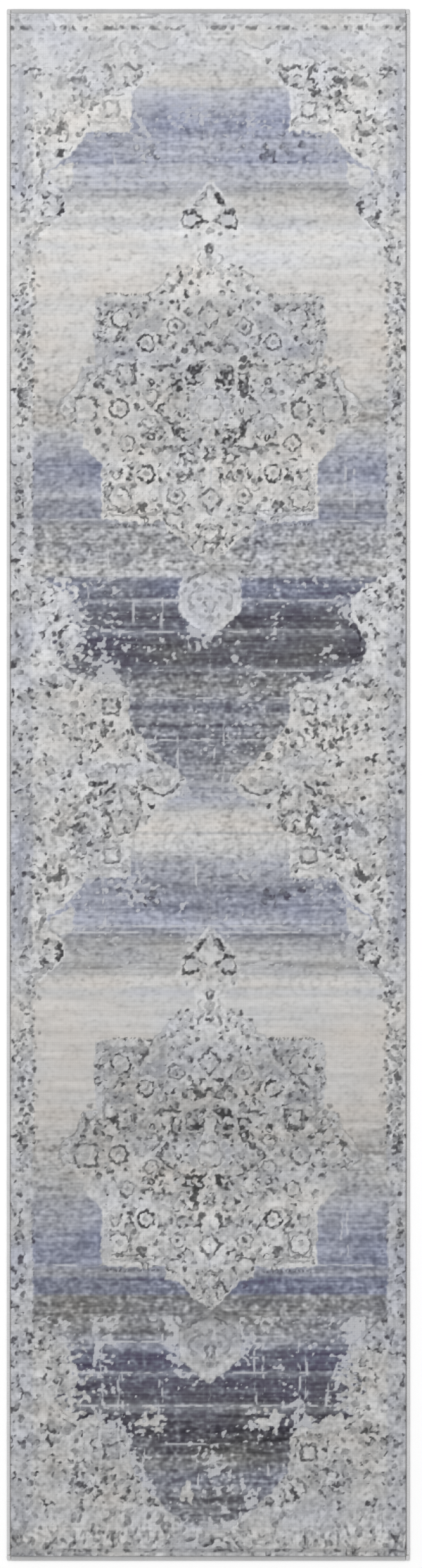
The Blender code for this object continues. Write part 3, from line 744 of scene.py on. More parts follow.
def paint(x, y):
    """Card colours, 0 to 255, of the knots at x (columns) and y (rows), in millimetres."""
    shape = (len(y), len(x))
    c = draw_cartoon()
    t_rug = FIRST_CROSSING_Y - y
    shift_t = 1.35 * grain(shape, 1.2, 1.2, 31) + 0.8 * grain(shape, 8, 14, 33)
    shift_u = 1.35 * grain(shape, 1.2, 1.2, 32) + 0.8 * grain(shape, 14, 8, 34)
    rows = (t_rug[:, None] + shift_t) / c.row_step - 0.5
    columns = np.abs(x[None, :] - MIDDLE_LINE_X + shift_u) - 0.5
    ink, dye, field, ornament, strip = (sample(sheet, rows, columns) for sheet in
                                        (c.ink, c.dye, c.field, c.ornament, c.strip))
    ink, field = end_borders(ink, field, x, t_rug, shape)

    def away(x0, t0, reach_x, reach_t):
        return ((x[None, :] - x0) / reach_x) ** 2 + ((t_rug[:, None] - t0) / reach_t) ** 2
    fade = np.zeros(shape)
    for *place, amount in FADED:
        fade = np.maximum(fade, amount * np.exp(-away(*place)))
    ragged = 0.75 * grain(shape, 1.6, 1.8, 35)
    for place in OVERGROWN:
        spread = ramp(1.15 - away(*place) + ragged, 0.0, 0.4)
        field = field * (1 - spread)
        ornament = np.maximum(ornament, 0.7 * spread)
    ornament = np.maximum(ornament, strip)
    light, blue = (along_rug(STRIP_BANDS, t_rug, k) * strip + (1 - strip) * (
        along_rug(FIELD_BANDS, t_rug, k) * field + along_rug(BORDER_BANDS, t_rug, k) * (1 - field))
        for k in (0, 1))
    light = light + 2 + 9 * ornament
    blue = blue + 6 * dye

    # abrash: neighbouring rows of weft come from slightly different dye lots
    lots = grain(shape, 1.3, 40, 41) * 0.55 + grain(shape, 0.7, 16, 42) * 0.6
    open_ground = 1 - ornament
    deep = ramp(-light, -165, -125)
    mid = ramp(-light, -196, -176) * (1 - deep)
    light = light + lots * (1.6 + (2.6 + 5.6 * mid + 7.0 * deep) * open_ground) + 3 * deep
    blue = blue + 1.5 * grain(shape, 6, 30, 43) + 1.5 * grain(shape, 12, 12, 44)

    # worn knots eat into the ink
    spotty = grain(shape, 1.2, 1.25, 51)
    patchy = grain(shape, 5, 5, 52)
    dark = np.clip(-ink, 0, 1) * (1 - 0.8 * fade)
    pale = np.clip(ink, 0, 1)
    light = light * (1 - 0.58 * dark * np.clip(0.82 + 0.55 * spotty + 0.22 * patchy, 0, 1.25))
    light = light + (IVORY_YARN - light) * pale * np.clip(0.62 + 0.34 * spotty + 0.15 * patchy, 0, 1)
    blue = blue * (1 - 0.7 * pale) * (1 - 0.4 * dark) + 2 * dark

    # uneven knots: dark flecks in the worked ground, pale ones in the dark field
    uneven = along_rug(UNEVEN, t_rug, 0) * open_ground + along_rug(UNEVEN, t_rug, 1) * ornament
    lean = np.clip((light - 150) / 50, -1, 1) * -0.22
    streaky = 0.85 * spotty + 0.55 * grain(shape, 0.8, 1.9, 53)
    spots = spotty + (streaky - spotty) * open_ground
    flecks = (spots + lean * (spots ** 2 - 1)) / np.sqrt(1 + 2 * lean ** 2)
    light = light + flecks * uneven * (1 - 0.2 * ornament) * (1 - 0.35 * fade) + patchy * (1.5 + 3 * ornament)

    bare = wear_map(x, t_rug, shape)
    near_edge = 4 * soften(field, 7, 7) * (1 - soften(field, 7, 7))
    clusters = 0.75 * grain(shape, 11, 9, 62) + 1.2 * near_edge - 0.48
    chips = ramp(grain(shape, 1.25, 1.4, 61) + clusters, 0.85, 1.35) * ramp(-light, -186, -148) * field
    bare = np.maximum(bare, chips)
    light = light + (BARE_WARP - light) * 0.85 * bare
    blue = blue * (1 - 0.6 * bare) + 2 * bare
    light = light + (FADED_YARN - light) * 0.35 * fade
    return yarn_shade(light, blue)


# ------------------------------------------------------------------ materials
def new_material(name):
    material = bpy.data.materials.new(name)
    material.use_nodes = True
    tree = material.node_tree
    surface = tree.nodes["Principled BSDF"]
    return material, tree, surface


def put(tree, kind, **values):
    """Adds a node; keywords that name a socket set it, the others set the node's own choices."""
    node = tree.nodes.new(kind)
    for key, value in values.items():
        label = key.replace("_", " ")
        socket = node.inputs.get(label) or node.inputs.get(label.title())
        if socket is not None and not hasattr(node, key):
            socket.default_value = value
        else:
            setattr(node, key, value)
    return node


def maths(tree, operation, *sources):
    """A maths node's result: a source that is a number is set on its socket, any other is linked."""
    node = put(tree, "ShaderNodeMath", operation=operation)
    for socket, source in zip(node.inputs, sources):
        if isinstance(source, (int, float)):
            socket.default_value = source
        else:
            tree.links.new(source, socket)
    return node.outputs[0]


def shaded(tree, colour, factor):
    """A colour made lighter or darker by a factor."""
    node = put(tree, "ShaderNodeVectorMath", operation="SCALE")
    tree.links.new(colour, node.inputs[0])
    tree.links.new(factor, node.inputs["Scale"])
    return node.outputs[0]


def new_effect(name, inputs, outputs):
    """A shared effect: a node group with named inputs and outputs, each ('name', kind, default)."""
    group = bpy.data.node_groups.new(name, "ShaderNodeTree")
    for label, kind, default in inputs:
        socket = group.interface.new_socket(label, in_out="INPUT", socket_type=kind)
        socket.default_value = default
    for label, kind in outputs:
        group.interface.new_socket(label, in_out="OUTPUT", socket_type=kind)
    return group, group.nodes.new("NodeGroupInput"), group.nodes.new("NodeGroupOutput")


FLOAT, COLOUR, VECTOR = "NodeSocketFloat", "NodeSocketColor", "NodeSocketVector"


def yarn_effect():
    """Yarn colour and height: fibres of a given size, with uneven fibre tone and painted shade in the dips
    between them.
    """
    group, given, out = new_effect("yarn", [
        ("Colour", COLOUR, (0.5, 0.5, 0.5, 1)), ("Fibre Size", FLOAT, 0.0012),
        ("Fibre Stretch", VECTOR, (1, 1, 1)), ("Fibre Tone And Dip Shade", FLOAT, 0.15),
        ("Patch Size", FLOAT, 0.02), ("Patch Change", FLOAT, 0.06)],
        [("Colour", COLOUR), ("Height", FLOAT)])
    link = group.links.new
    place = put(group, "ShaderNodeTexCoord").outputs["Object"]
    stretched = put(group, "ShaderNodeVectorMath", operation="MULTIPLY")
    link(place, stretched.inputs[0])
    link(given.outputs["Fibre Stretch"], stretched.inputs[1])
    fibre = put(group, "ShaderNodeTexNoise", Detail=3.0, Roughness=0.65)
    link(stretched.outputs[0], fibre.inputs["Vector"])
    link(maths(group, "DIVIDE", 1.0, given.outputs["Fibre Size"]), fibre.inputs["Scale"])
    patch = put(group, "ShaderNodeTexNoise", Detail=2.0)
    link(place, patch.inputs["Vector"])
    link(maths(group, "DIVIDE", 1.0, given.outputs["Patch Size"]), patch.inputs["Scale"])

    def swing(noise, amount):
        """A factor that goes up and down round 1 with the noise."""
        centred = maths(group, "SUBTRACT", noise.outputs["Fac"], 0.5)
        return maths(group, "MULTIPLY_ADD", centred, given.outputs[amount], 1.0)
    # painted shade: the colour darkens where the fibres' height dips, over uneven fibre and patch tone
    tone_and_dip_shade = maths(group, "MULTIPLY", swing(fibre, "Fibre Tone And Dip Shade"), swing(patch, "Patch Change"))
    link(shaded(group, given.outputs["Colour"], tone_and_dip_shade), out.inputs["Colour"])
    link(fibre.outputs["Fac"], out.inputs["Height"])
    return group


TUFT_GAP_PAINTED_SHADE = 0.30          # painted shade: how much darker the pile is painted between its tufts
# the pile's mean darkening from that painted shade
TUFT_MEAN_PAINTED_SHADE = 1 - TUFT_GAP_PAINTED_SHADE * (1 - 4 / math.pi ** 2)
ROOM_LIGHT = 1.09              # a matt white card in this room comes out this much above white
FIBRE_RELIEF = 0.35            # height of a cloth's fibres, where that of its threads is 1


def weave_effect():
    """Plain weave over a colour and height: threads cross at the given pitches, with painted shade in the
    gaps.
    """
    group, given, out = new_effect("weave", [
        ("Colour", COLOUR, (0.5, 0.5, 0.5, 1)), ("Height", FLOAT, 0.5), ("Pitch Across", FLOAT, 0.001),
        ("Pitch Along", FLOAT, 0.001), ("Gap Painted Shade", FLOAT, 0.3)],
        [("Colour", COLOUR), ("Height", FLOAT)])
    link = group.links.new
    place = put(group, "ShaderNodeSeparateXYZ")
    link(put(group, "ShaderNodeTexCoord").outputs["Object"], place.inputs[0])

    def wave(axis, pitch):
        turns = maths(group, "DIVIDE", place.outputs[axis], given.outputs[pitch])
        return maths(group, "SINE", maths(group, "MULTIPLY", turns, math.pi))
    crossing_waves = maths(group, "MULTIPLY", wave("X", "Pitch Across"), wave("Y", "Pitch Along"))
    over = maths(group, "ABSOLUTE", crossing_waves)
    # painted shade: the colour is darkened in the gaps between the crossing threads
    painted_gap_shade = maths(group, "MULTIPLY", maths(group, "SUBTRACT", 1.0, over), given.outputs["Gap Painted Shade"])
    kept = maths(group, "SUBTRACT", 1.0, painted_gap_shade)
    link(shaded(group, given.outputs["Colour"], kept), out.inputs["Colour"])
    link(maths(group, "MULTIPLY_ADD", given.outputs["Height"], FIBRE_RELIEF, over), out.inputs["Height"])
    return group


YARN = yarn_effect()
WEAVE = weave_effect()


def yarn_material(name, colour, fibre=0.0012, stretch=(1, 1, 1), fibre_tone_and_shade=0.5, patch=0.02, patch_change=0.15,
                  roughness=0.92, sheen=0.15, bump=0.0003, attribute=None, weave=None):
    """A matt yarn; weave gives a cloth's thread pitches across and along, and how much painted shade darkens
    its gaps.
    """
    material, tree, surface = new_material(name)
    effect = put(tree, "ShaderNodeGroup", node_tree=YARN)
    for label, value in (("Fibre Size", fibre), ("Fibre Stretch", stretch), ("Fibre Tone And Dip Shade", fibre_tone_and_shade),
                         ("Patch Size", patch), ("Patch Change", patch_change)):
        effect.inputs[label].default_value = value
    if attribute:
        knots = put(tree, "ShaderNodeAttribute", attribute_name=attribute)
        tree.links.new(knots.outputs["Color"], effect.inputs["Colour"])
    else:
        effect.inputs["Colour"].default_value = (*colour, 1)
    if weave:
        cloth = put(tree, "ShaderNodeGroup", node_tree=WEAVE)
        for label, value in zip(("Pitch Across", "Pitch Along", "Gap Painted Shade"), weave):
            cloth.inputs[label].default_value = value
        tree.links.new(effect.outputs["Colour"], cloth.inputs["Colour"])
        tree.links.new(effect.outputs["Height"], cloth.inputs["Height"])
        effect = cloth
    tree.links.new(effect.outputs["Colour"], surface.inputs["Base Color"])
    relief = put(tree, "ShaderNodeBump", Strength=0.6, Distance=bump)
    tree.links.new(effect.outputs["Height"], relief.inputs["Height"])
    tree.links.new(relief.outputs["Normal"], surface.inputs["Normal"])
    surface.inputs["Roughness"].default_value = roughness
    surface.inputs["Sheen Weight"].default_value = sheen
    surface.inputs["Specular IOR Level"].default_value = 0.15
    return material


def linear(grey, blue):
    """The linear colour of a yarn from its shade on the dyer's 0 to 255 card."""
    card = yarn_shade(np.array(float(grey)), np.array(float(blue))) / 255
    return tuple(float(v) for v in to_linear(card))


def to_linear(card):
    return np.where(card <= 0.04045, card / 12.92, ((np.maximum(card, 0) + 0.055) / 1.055) ** 2.4)


# The last number of each weave is painted shade in the gaps between threads or tufts.
PILE_YARN = yarn_material("cut_pile_yarn", None, fibre=0.0008, stretch=(1, 1, 0.25), fibre_tone_and_shade=0.45, patch=0.05,
                          patch_change=0.05, sheen=0.1, bump=0.0006, attribute="yarn_colour",
                          weave=(0.0020, 0.0020, TUFT_GAP_PAINTED_SHADE))
OVERCAST_YARN = yarn_material("pale_grey_overcast_yarn", linear(211, 1), fibre=0.0007, stretch=(1, 3, 1),
                              fibre_tone_and_shade=0.35, patch=0.03)
TACK_YARN = yarn_material("corner_tack_yarn", linear(200, 1), fibre=0.0007, stretch=(1, 3, 1), fibre_tone_and_shade=0.35)
BINDING_TAPE = yarn_material("grey_binding_tape", linear(203, 1), fibre=0.0009, fibre_tone_and_shade=0.3, patch=0.05,
                             patch_change=0.25, bump=0.0002, weave=(0.0016, 0.0008, 0.35))
SEWING_THREAD = yarn_material("grey_sewing_thread", linear(206, 1), fibre=0.0004, fibre_tone_and_shade=0.3, sheen=0.3,
                              roughness=0.7, bump=0.0001)
EDGE_CORD = yarn_material("twisted_edge_cord", (0.55, 0.52, 0.45), fibre=0.0008)
GROUND_CLOTH = yarn_material("coarse_ground_weave", (0.42, 0.36, 0.27), fibre=0.0009, bump=0.0005,
                             weave=(0.0024, 0.0020, 0.55))
LATEX_COAT = yarn_material("latex_over_weave", (0.50, 0.45, 0.36), fibre=0.0016, patch=0.12, patch_change=0.3,
                           roughness=0.75, sheen=0.0, bump=0.0004, weave=(0.0042, 0.0020, 0.42))
LABEL_RIBBON = yarn_material("blank_satin_ribbon", (0.78, 0.78, 0.75), fibre=0.0005, fibre_tone_and_shade=0.12,
                             roughness=0.45, sheen=0.3, bump=0.00008, weave=(0.0010, 0.0004, 0.12))


# ------------------------------------------------------------------ the cut pile
PILE_LOW, PILE_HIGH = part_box("pile")
PILE_STRIPS = 8
EDGE_DROP = 1.1 * MM         # the outermost tufts lean out and stand lower
EDGE_STEP = 0.7 * MM
RELIEF = 0.22 * MM           # how unevenly the tufts are cut
EDGE_LEAN = 0.22 * MM        # every other tuft of a side leans in by this much
KNOT_SIZE = 2.0 * MM
STRIP_TUCK = 0.6 * MM
DARKEST, PALEST = 20, 250    # no knot goes beyond these shades of the 0 to 255 card


def knot_line(low, high):
    """Places of the tufts across or along the rug, with one more close to each edge."""
    count = int(round((high - low - 2 * EDGE_STEP) / KNOT_SIZE))
    inner = np.linspace(low + EDGE_STEP, high - EDGE_STEP, count + 1)
    return np.concatenate([[low], inner, [high]])


def grid_faces(rows, columns):
    """Quads of a grid of points stored row by row, turned to face up."""
    corner = (np.arange(rows - 1)[:, None] * columns + np.arange(columns - 1)[None, :]).ravel()
    return np.stack([corner, corner + 1, corner + columns + 1, corner + columns], axis=1)


def grid_points(xs, ys, level):
    """Points at the crossings of those columns and rows, at the heights given for each."""
    flat_x, flat_y = np.broadcast_to(xs, level.shape), np.broadcast_to(ys[:, None], level.shape)
    return np.stack([flat_x, flat_y, level], axis=-1).reshape(-1, 3)


def grid_rim(rows, columns):
    """Numbers of the points round the margin of such a grid, in order from its first."""
    index = np.arange(rows * columns).reshape(rows, columns)
    return np.concatenate([index[0, :], index[1:, -1], index[-1, -2::-1], index[-2:0:-1, 0]])


def tube_faces(stations, ring, flip):
    """Sides and end caps of a tube whose points are stored ring by ring; flip turns them over."""
    start = np.arange(stations - 1)[:, None] * ring
    a = (start + np.arange(ring)[None, :]).ravel()
    b = (start + (np.arange(ring)[None, :] + 1) % ring).ravel()
    quads = np.stack([a, b, b + ring, a + ring], axis=1)
    caps = [tuple(range(ring))[::-1], tuple((stations - 1) * ring + k for k in range(ring))]
    if flip:
        quads, caps = quads[:, ::-1], [cap[::-1] for cap in caps]
    return quads, caps


ALL_FACES, NO_FACES = slice(None), slice(0)


def plain_mesh(name, points, quads, extra_faces=(), smooth=ALL_FACES):
    """A mesh of quads and a few other faces; smooth says which of them shade as one curved surface."""
    mesh = bpy.data.meshes.new(name)
    faces = [tuple(f) for f in quads.tolist()] + [tuple(f) for f in extra_faces]
    mesh.from_pydata(points.tolist(), [], faces)
    mesh.update()
    shading = np.zeros(len(faces), bool)
    shading[smooth] = True
    mesh.polygons.foreach_set("use_smooth", shading)
    return mesh


def add_piece(name, mesh, material, body):
    piece = bpy.data.objects.new(name, mesh)
    bpy.context.scene.collection.objects.link(piece)
    piece.data.materials.clear()
    piece.data.materials.append(material)
    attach(piece, body)
    return piece


def make_pile():
    """The whole pile, one knot to a point of the grid, in strips from the foot of the rug to its head."""
    xs = knot_line(PILE_LOW[0], PILE_HIGH[0])
    ys = knot_line(PILE_LOW[1], PILE_HIGH[1])
    card = paint(xs / MM, ys / MM)
    colour = np.ones((len(ys), len(xs), 4), np.float32)
    # The knot colours are raised to make up for the painted shade between tufts and for the room's light.
    colour[..., :3] = to_linear(np.clip(card, DARKEST, PALEST) / 255) / (TUFT_MEAN_PAINTED_SHADE * ROOM_LIGHT)
    tufts = grain((len(ys), len(xs)), 0.6, 0.6, 71) + 0.6 * grain((len(ys), len(xs)), 5, 5, 72)
    top = PILE_HIGH[2] - RELIEF * np.clip(0.5 + 0.25 * tufts, 0, 1.2)
    for edge in (top[:, :1], top[:, -1:], top[:1, :], top[-1:, :]):
        edge -= EDGE_DROP
    lean = np.where(np.arange(len(ys)) % 2, 0.0, EDGE_LEAN)
    x_grid = np.repeat(xs[None, :], len(ys), 0)
    y_grid = np.repeat(ys[:, None], len(xs), 1)
    x_grid[:, 0] += lean
    x_grid[:, -1] -= lean
    breaks = np.linspace(0, len(ys) - 1, PILE_STRIPS + 1).round().astype(int)
    pieces = []
    for number, (first, last) in enumerate(zip(breaks, breaks[1:]), start=1):
        tucked = last < len(ys) - 1
        take = slice(first, last + 1 + tucked)
        level = top[take].copy()
        if tucked:                     # the next strip lies over this one's last row
            level[-1] -= STRIP_TUCK
        pieces.append(pile_strip(f"pile_strip_{number}", x_grid[take], y_grid[take], level, colour[take]))
    return pieces


def pile_strip(name, x_grid, y_grid, top, colour):
    """One strip of pile: its top, four walls down to the ground cloth, and a flat underside."""
    rows, columns = top.shape
    upper = np.stack([x_grid, y_grid, top], axis=-1).reshape(-1, 3)
    rim = grid_rim(rows, columns)
    lower = upper[rim].copy()
    lower[:, 2] = PILE_LOW[2]
    base = rows * columns + np.arange(len(rim))
    walls = np.stack([rim, base, np.roll(base, -1), np.roll(rim, -1)], axis=1)
    top_quads = grid_faces(rows, columns)
    mesh = plain_mesh(name, np.concatenate([upper, lower]), np.concatenate([top_quads, walls]),
                      [tuple(base[::-1].tolist())], smooth=slice(len(top_quads)))
    knots = colour.reshape(-1, 4)
    shade = mesh.color_attributes.new("yarn_colour", "FLOAT_COLOR", "POINT")
    shade.data.foreach_set("color", np.concatenate([knots, knots[rim]]).ravel())
    lay_out_strip(mesh, rows, columns, len(walls))
    piece = add_piece(name, mesh, PILE_YARN, "rug")
    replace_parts(piece, "pile")
    return piece


def lay_out_strip(mesh, rows, columns, wall_count):
    """The strip's own flat map: the top fills it, the walls lie along its margins, the base above."""
    points = np.empty(len(mesh.vertices) * 3)
    mesh.vertices.foreach_get("co", points)
    points = points.reshape(-1, 3)
    loops = np.empty(len(mesh.loops), np.int64)
    mesh.loops.foreach_get("vertex_index", loops)
    low, high = points.min(0), points.max(0)
    share = (points[loops] - low) / (high - low)
    uv = np.stack([0.02 + 0.96 * share[:, 0], 0.03 + 0.86 * share[:, 1]], axis=1)
    wall_first = 4 * (rows - 1) * (columns - 1)
    wall_last = wall_first + 4 * wall_count
    run_u = np.array([columns - 1, rows - 1, columns - 1, rows - 1])
    side = np.repeat(np.arange(4), run_u * 4)
    drop = 0.012 * (1 - share[wall_first:wall_last, 2])
    wall = uv[wall_first:wall_last]
    wall[:, 1] = np.where(side == 0, 0.028 - drop, np.where(side == 2, 0.892 + drop, wall[:, 1]))
    wall[:, 0] = np.where(side == 1, 0.982 + drop, np.where(side == 3, 0.018 - drop, wall[:, 0]))
    uv[wall_last:, 1] = 0.93 + 0.06 * share[wall_last:, 1]
    layer = mesh.uv_layers.new(name="OFBake")
    layer.data.foreach_set("uv", uv.ravel())


# ------------------------------------------------------------------ rows of repeated things
def row_tree():
    """Repeats the given part along a straight row, each copy moved a little at random."""
    tree = bpy.data.node_groups.new("row_of_copies", "GeometryNodeTree")
    face = tree.interface
    face.new_socket("Geometry", in_out="INPUT", socket_type="NodeSocketGeometry")
    sockets = {}
    for label, kind in (("Count", "NodeSocketInt"), ("Start", VECTOR), ("Step", VECTOR),
                        ("Shake", VECTOR), ("Seed", "NodeSocketInt"), ("Material", "NodeSocketMaterial")):
        sockets[label] = face.new_socket(label, in_out="INPUT", socket_type=kind).identifier
    face.new_socket("Geometry", in_out="OUTPUT", socket_type="NodeSocketGeometry")
    add, link = tree.nodes.new, tree.links.new
    given, out = add("NodeGroupInput"), add("NodeGroupOutput")
    line = add("GeometryNodeMeshLine")
    line.mode = "OFFSET"
    backwards = add("ShaderNodeVectorMath")
    backwards.operation = "SCALE"
    backwards.inputs["Scale"].default_value = -1.0
    shake = add("FunctionNodeRandomValue")
    shake.data_type = "FLOAT_VECTOR"
    moved, copies = add("GeometryNodeSetPosition"), add("GeometryNodeInstanceOnPoints")
    real, finish = add("GeometryNodeRealizeInstances"), add("GeometryNodeSetMaterial")
    for label, node, socket in (("Count", line, "Count"), ("Start", line, "Start Location"),
                                ("Step", line, "Offset"), ("Shake", backwards, 0),
                                ("Shake", shake, "Max"), ("Seed", shake, "Seed"),
                                ("Geometry", copies, "Instance"), ("Material", finish, "Material")):
        link(given.outputs[label], node.inputs[socket])
    for source, node, socket in ((backwards, shake, "Min"), (line, moved, "Geometry"),
                                 (shake, moved, "Offset"), (moved, copies, "Points"),
                                 (copies, real, "Geometry"), (real, finish, "Geometry"),
                                 (finish, out, "Geometry")):
        link(source.outputs[0], node.inputs[socket])
    return tree, sockets


ROW_TREE, ROW_SOCKETS = row_tree()


def row_of(name, part_mesh, count, start, step, material, shake, seed):
    """A piece of the rug made of one mesh again and again, from start, a step apart."""
    maker = bpy.data.objects.new(name + "_maker", part_mesh)
    bpy.context.scene.collection.objects.link(maker)
    modifier = maker.modifiers.new("row", "NODES")
    modifier.node_group = ROW_TREE
    for label, value in (("Count", count), ("Start", start), ("Step", step), ("Shake", shake),
                         ("Seed", seed), ("Material", material)):
        modifier[ROW_SOCKETS[label]] = value
    shown = maker.evaluated_get(bpy.context.evaluated_depsgraph_get())
    mesh = bpy.data.meshes.new_from_object(shown)
    mesh.name = name
    maker.modifiers.remove(modifier)
    bpy.data.objects.remove(maker)
    return add_piece(name, mesh, material, "rug")


# ------------------------------------------------------------------ overcast sides
WRAP_PITCH = 1.9 * MM            # from one turn of yarn to the next
WRAP_HEIGHT = 0.38 * MM          # how far a turn stands above the dips beside it
WRAP_WALL = 0.75 * MM            # thickness of the yarn over the cord
WRAP_HALF_WIDTH = 4.25 * MM
WRAP_LEAN = 0.35 * MM            # how far a turn has moved along the side between its two faces
WRAP_SHAKE = (0.04 * MM, 0.10 * MM, 0.04 * MM)
SLOT_ANGLE = math.radians(147)   # a turn ends here on both faces, where the ground cloth goes in
WRAP_STEPS = 9
# Across a turn, in pitches: where each point lies, and its height from dip (0) to crest (1), or
# None on the yarn's inner face.
WRAP_SECTION = [(-0.53, 0.0), (-0.24, 1.0), (0.24, 1.0), (0.53, 0.0), (0.45, None), (-0.45, None)]


def wrap_mesh(name, side, centre_x, centre_z, half_height):
    """One turn of overcasting yarn round the edge, open where the ground cloth goes in."""
    points = []
    for i in range(WRAP_STEPS + 1):
        angle = -SLOT_ANGLE + 2 * SLOT_ANGLE * i / WRAP_STEPS
        slant = WRAP_LEAN * math.sin(angle)
        for run, rise in WRAP_SECTION:
            inset = WRAP_WALL if rise is None else WRAP_HEIGHT * (1 - rise)
            points.append((centre_x + side * (WRAP_HALF_WIDTH - inset) * math.cos(angle),
                           run * WRAP_PITCH + slant,
                           centre_z + (half_height - inset) * math.sin(angle)))
    quads, caps = tube_faces(WRAP_STEPS + 1, len(WRAP_SECTION), flip=side < 0)
    return plain_mesh(name, np.array(points), quads, caps)


def make_overcasting():
    made = []
    end_room = 0.8 * WRAP_PITCH      # from the side's end to the middle of its first turn
    for word, side in (("left", -1), ("right", 1)):
        low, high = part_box(f"overcast_{word}")
        centre_x = side * (max(abs(low[0]), abs(high[0])) - WRAP_HALF_WIDTH)
        wrap = wrap_mesh(f"wrap_{word}", side, centre_x, (low[2] + high[2]) / 2, (high[2] - low[2]) / 2)
        length = high[1] - low[1]
        count = int(length / WRAP_PITCH) - 1
        step = (length - 2 * end_room) / (count - 1)
        piece = row_of(f"overcast_yarn_{word}", wrap, count, (0, low[1] + end_room, 0), (0, step, 0),
                       OVERCAST_YARN, WRAP_SHAKE, seed=5)
        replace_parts(piece, f"overcast_{word}")
        made.append(piece)
    return made


# ------------------------------------------------------------------ bound ends
TAPE = 0.6 * MM
TAPE_FACE = 8.5 * MM         # how far the tape reaches over the pile
TAPE_FOLD = 1.2 * MM
TAPE_RIB = 0.8 * MM
TAPE_RELIEF = 0.05 * MM
TAPE_SLACK = 0.12 * MM       # how far its inner edges wander from a straight line
SEAM_DIP = 0.10 * MM
STITCH_PITCH = 3.2 * MM
STITCH_SHAKE = (0.08 * MM, 0.06 * MM, 0)
STITCH_STATIONS = 6
STITCH_SIDES = 6


def tape_section(low, high):
    """The folded tape's outline in y and z, with how far each point rises and falls with the ribs."""
    end_y, top, bottom = high[1], high[2], low[2]
    bend, inner = end_y - TAPE_FOLD, TAPE_FOLD - TAPE
    fold_top, fold_bottom = top - TAPE_FOLD, bottom + TAPE_FOLD
    seam = end_y - TAPE_FACE / 2
    quarter = np.linspace(0, math.pi / 2, 6)
    outer_top = [(end_y - TAPE_FACE, top), (end_y - TAPE_FACE + 0.8 * MM, top), (seam - 1.0 * MM, top),
                 (seam, top - SEAM_DIP), (seam + 1.0 * MM, top)]
    turn_down = [(bend + TAPE_FOLD * math.sin(a), fold_top + TAPE_FOLD * math.cos(a)) for a in quarter]
    turn_back = [(bend + TAPE_FOLD * math.cos(a), fold_bottom - TAPE_FOLD * math.sin(a)) for a in quarter]
    outer_back = [(seam, bottom + SEAM_DIP / 2), (low[1] + 3 * MM, bottom), (low[1], bottom + 0.1 * MM)]
    inner_back = [(low[1], bottom + TAPE)]
    inner_up = [(bend + inner * math.sin(a), fold_bottom - inner * math.cos(a)) for a in quarter]
    inner_over = [(bend + inner * math.cos(a), fold_top + inner * math.sin(a)) for a in quarter]
    inner_face = [(end_y - TAPE_FACE, top - TAPE)]
    outside = outer_top + turn_down + turn_back + outer_back
    inside = inner_back + inner_up + inner_over + inner_face
    return np.array(outside + inside), np.array([1.0] * len(outside) + [0.0] * len(inside))


def make_binding(word, end):
    """The ribbed tape folded over one end of the rug; end is 1 at the head and -1 at the foot."""
    low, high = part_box(f"end_binding_{word}")
    if end < 0:
        low, high = (low[0], -high[1], low[2]), (high[0], -low[1], high[2])
    section, swell = tape_section(low, high)
    middle = section.mean(0)
    away = (section - middle) / np.linalg.norm(section - middle, axis=1, keepdims=True)
    columns = int((high[0] - low[0]) / TAPE_RIB)
    xs = np.linspace(low[0], high[0], columns + 1)
    rise = -TAPE_RELIEF * (np.arange(columns + 1) % 2)
    yz = section[None] + away[None] * (rise[:, None] * swell[None])[..., None]
    slack = TAPE_SLACK * grain((columns + 1, 1), 14, 0, 101)
    yz[:, :, 0] += slack * np.isin(np.arange(len(section)), (0, 1, len(section) - 1))
    points = np.concatenate([np.broadcast_to(xs[:, None, None], (*yz.shape[:2], 1)), yz], axis=2)
    points[:, :, 1] *= end
    quads, caps = tube_faces(columns + 1, len(section), flip=end > 0)
    mesh = plain_mesh(f"binding_tape_{word}", points.reshape(-1, 3), quads, caps,
                      smooth=slice(-len(caps)))
    tape = add_piece(f"binding_tape_{word}", mesh, BINDING_TAPE, "rug")
    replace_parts(tape, f"end_binding_{word}")
    return tape


def stitch_mesh(name, length, radii, dip, up):
    """One stitch along X: a short thread whose ends go down into the cloth."""
    points = []
    for share in np.arange(STITCH_STATIONS) / (STITCH_STATIONS - 1):
        sink = dip * (2 * share - 1) ** 4
        for k in range(STITCH_SIDES):
            turn = 2 * math.pi * k / STITCH_SIDES
            points.append(((share - 0.5) * length, radii[0] * math.cos(turn),
                           up * (radii[1] * math.sin(turn) - sink)))
    quads, caps = tube_faces(STITCH_STATIONS, STITCH_SIDES, flip=up > 0)
    quads = np.roll(quads, up, axis=1)      # so the quads' diagonals run the same way on both faces
    return plain_mesh(name, np.array(points), quads, caps)


def make_seam(node, radii, dip, up, seed):
    """A row of stitches in the place of a thread's bar."""
    low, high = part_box(node)
    count = int((high[0] - low[0]) / STITCH_PITCH)
    step = (high[0] - low[0]) / count
    stitch = stitch_mesh(f"stitch_of_{node}", 0.86 * step, radii, dip, up)
    start = (low[0] + step / 2, (low[1] + high[1]) / 2, (low[2] + high[2]) / 2)
    row = row_of(f"{node}_stitches", stitch, count, start, (step, 0, 0), SEWING_THREAD,
                 STITCH_SHAKE, seed)
    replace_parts(row, node)
    return row


# ------------------------------------------------------------------ corner tacks
TACK_TURN = 1.25 * MM
TACK_RELIEF = 0.16 * 0.6     # dips between the turns, as a share of the tack's size
TACK_SIDES = 24
TACK_TIP = 4.0 * MM          # length of the rounded tip


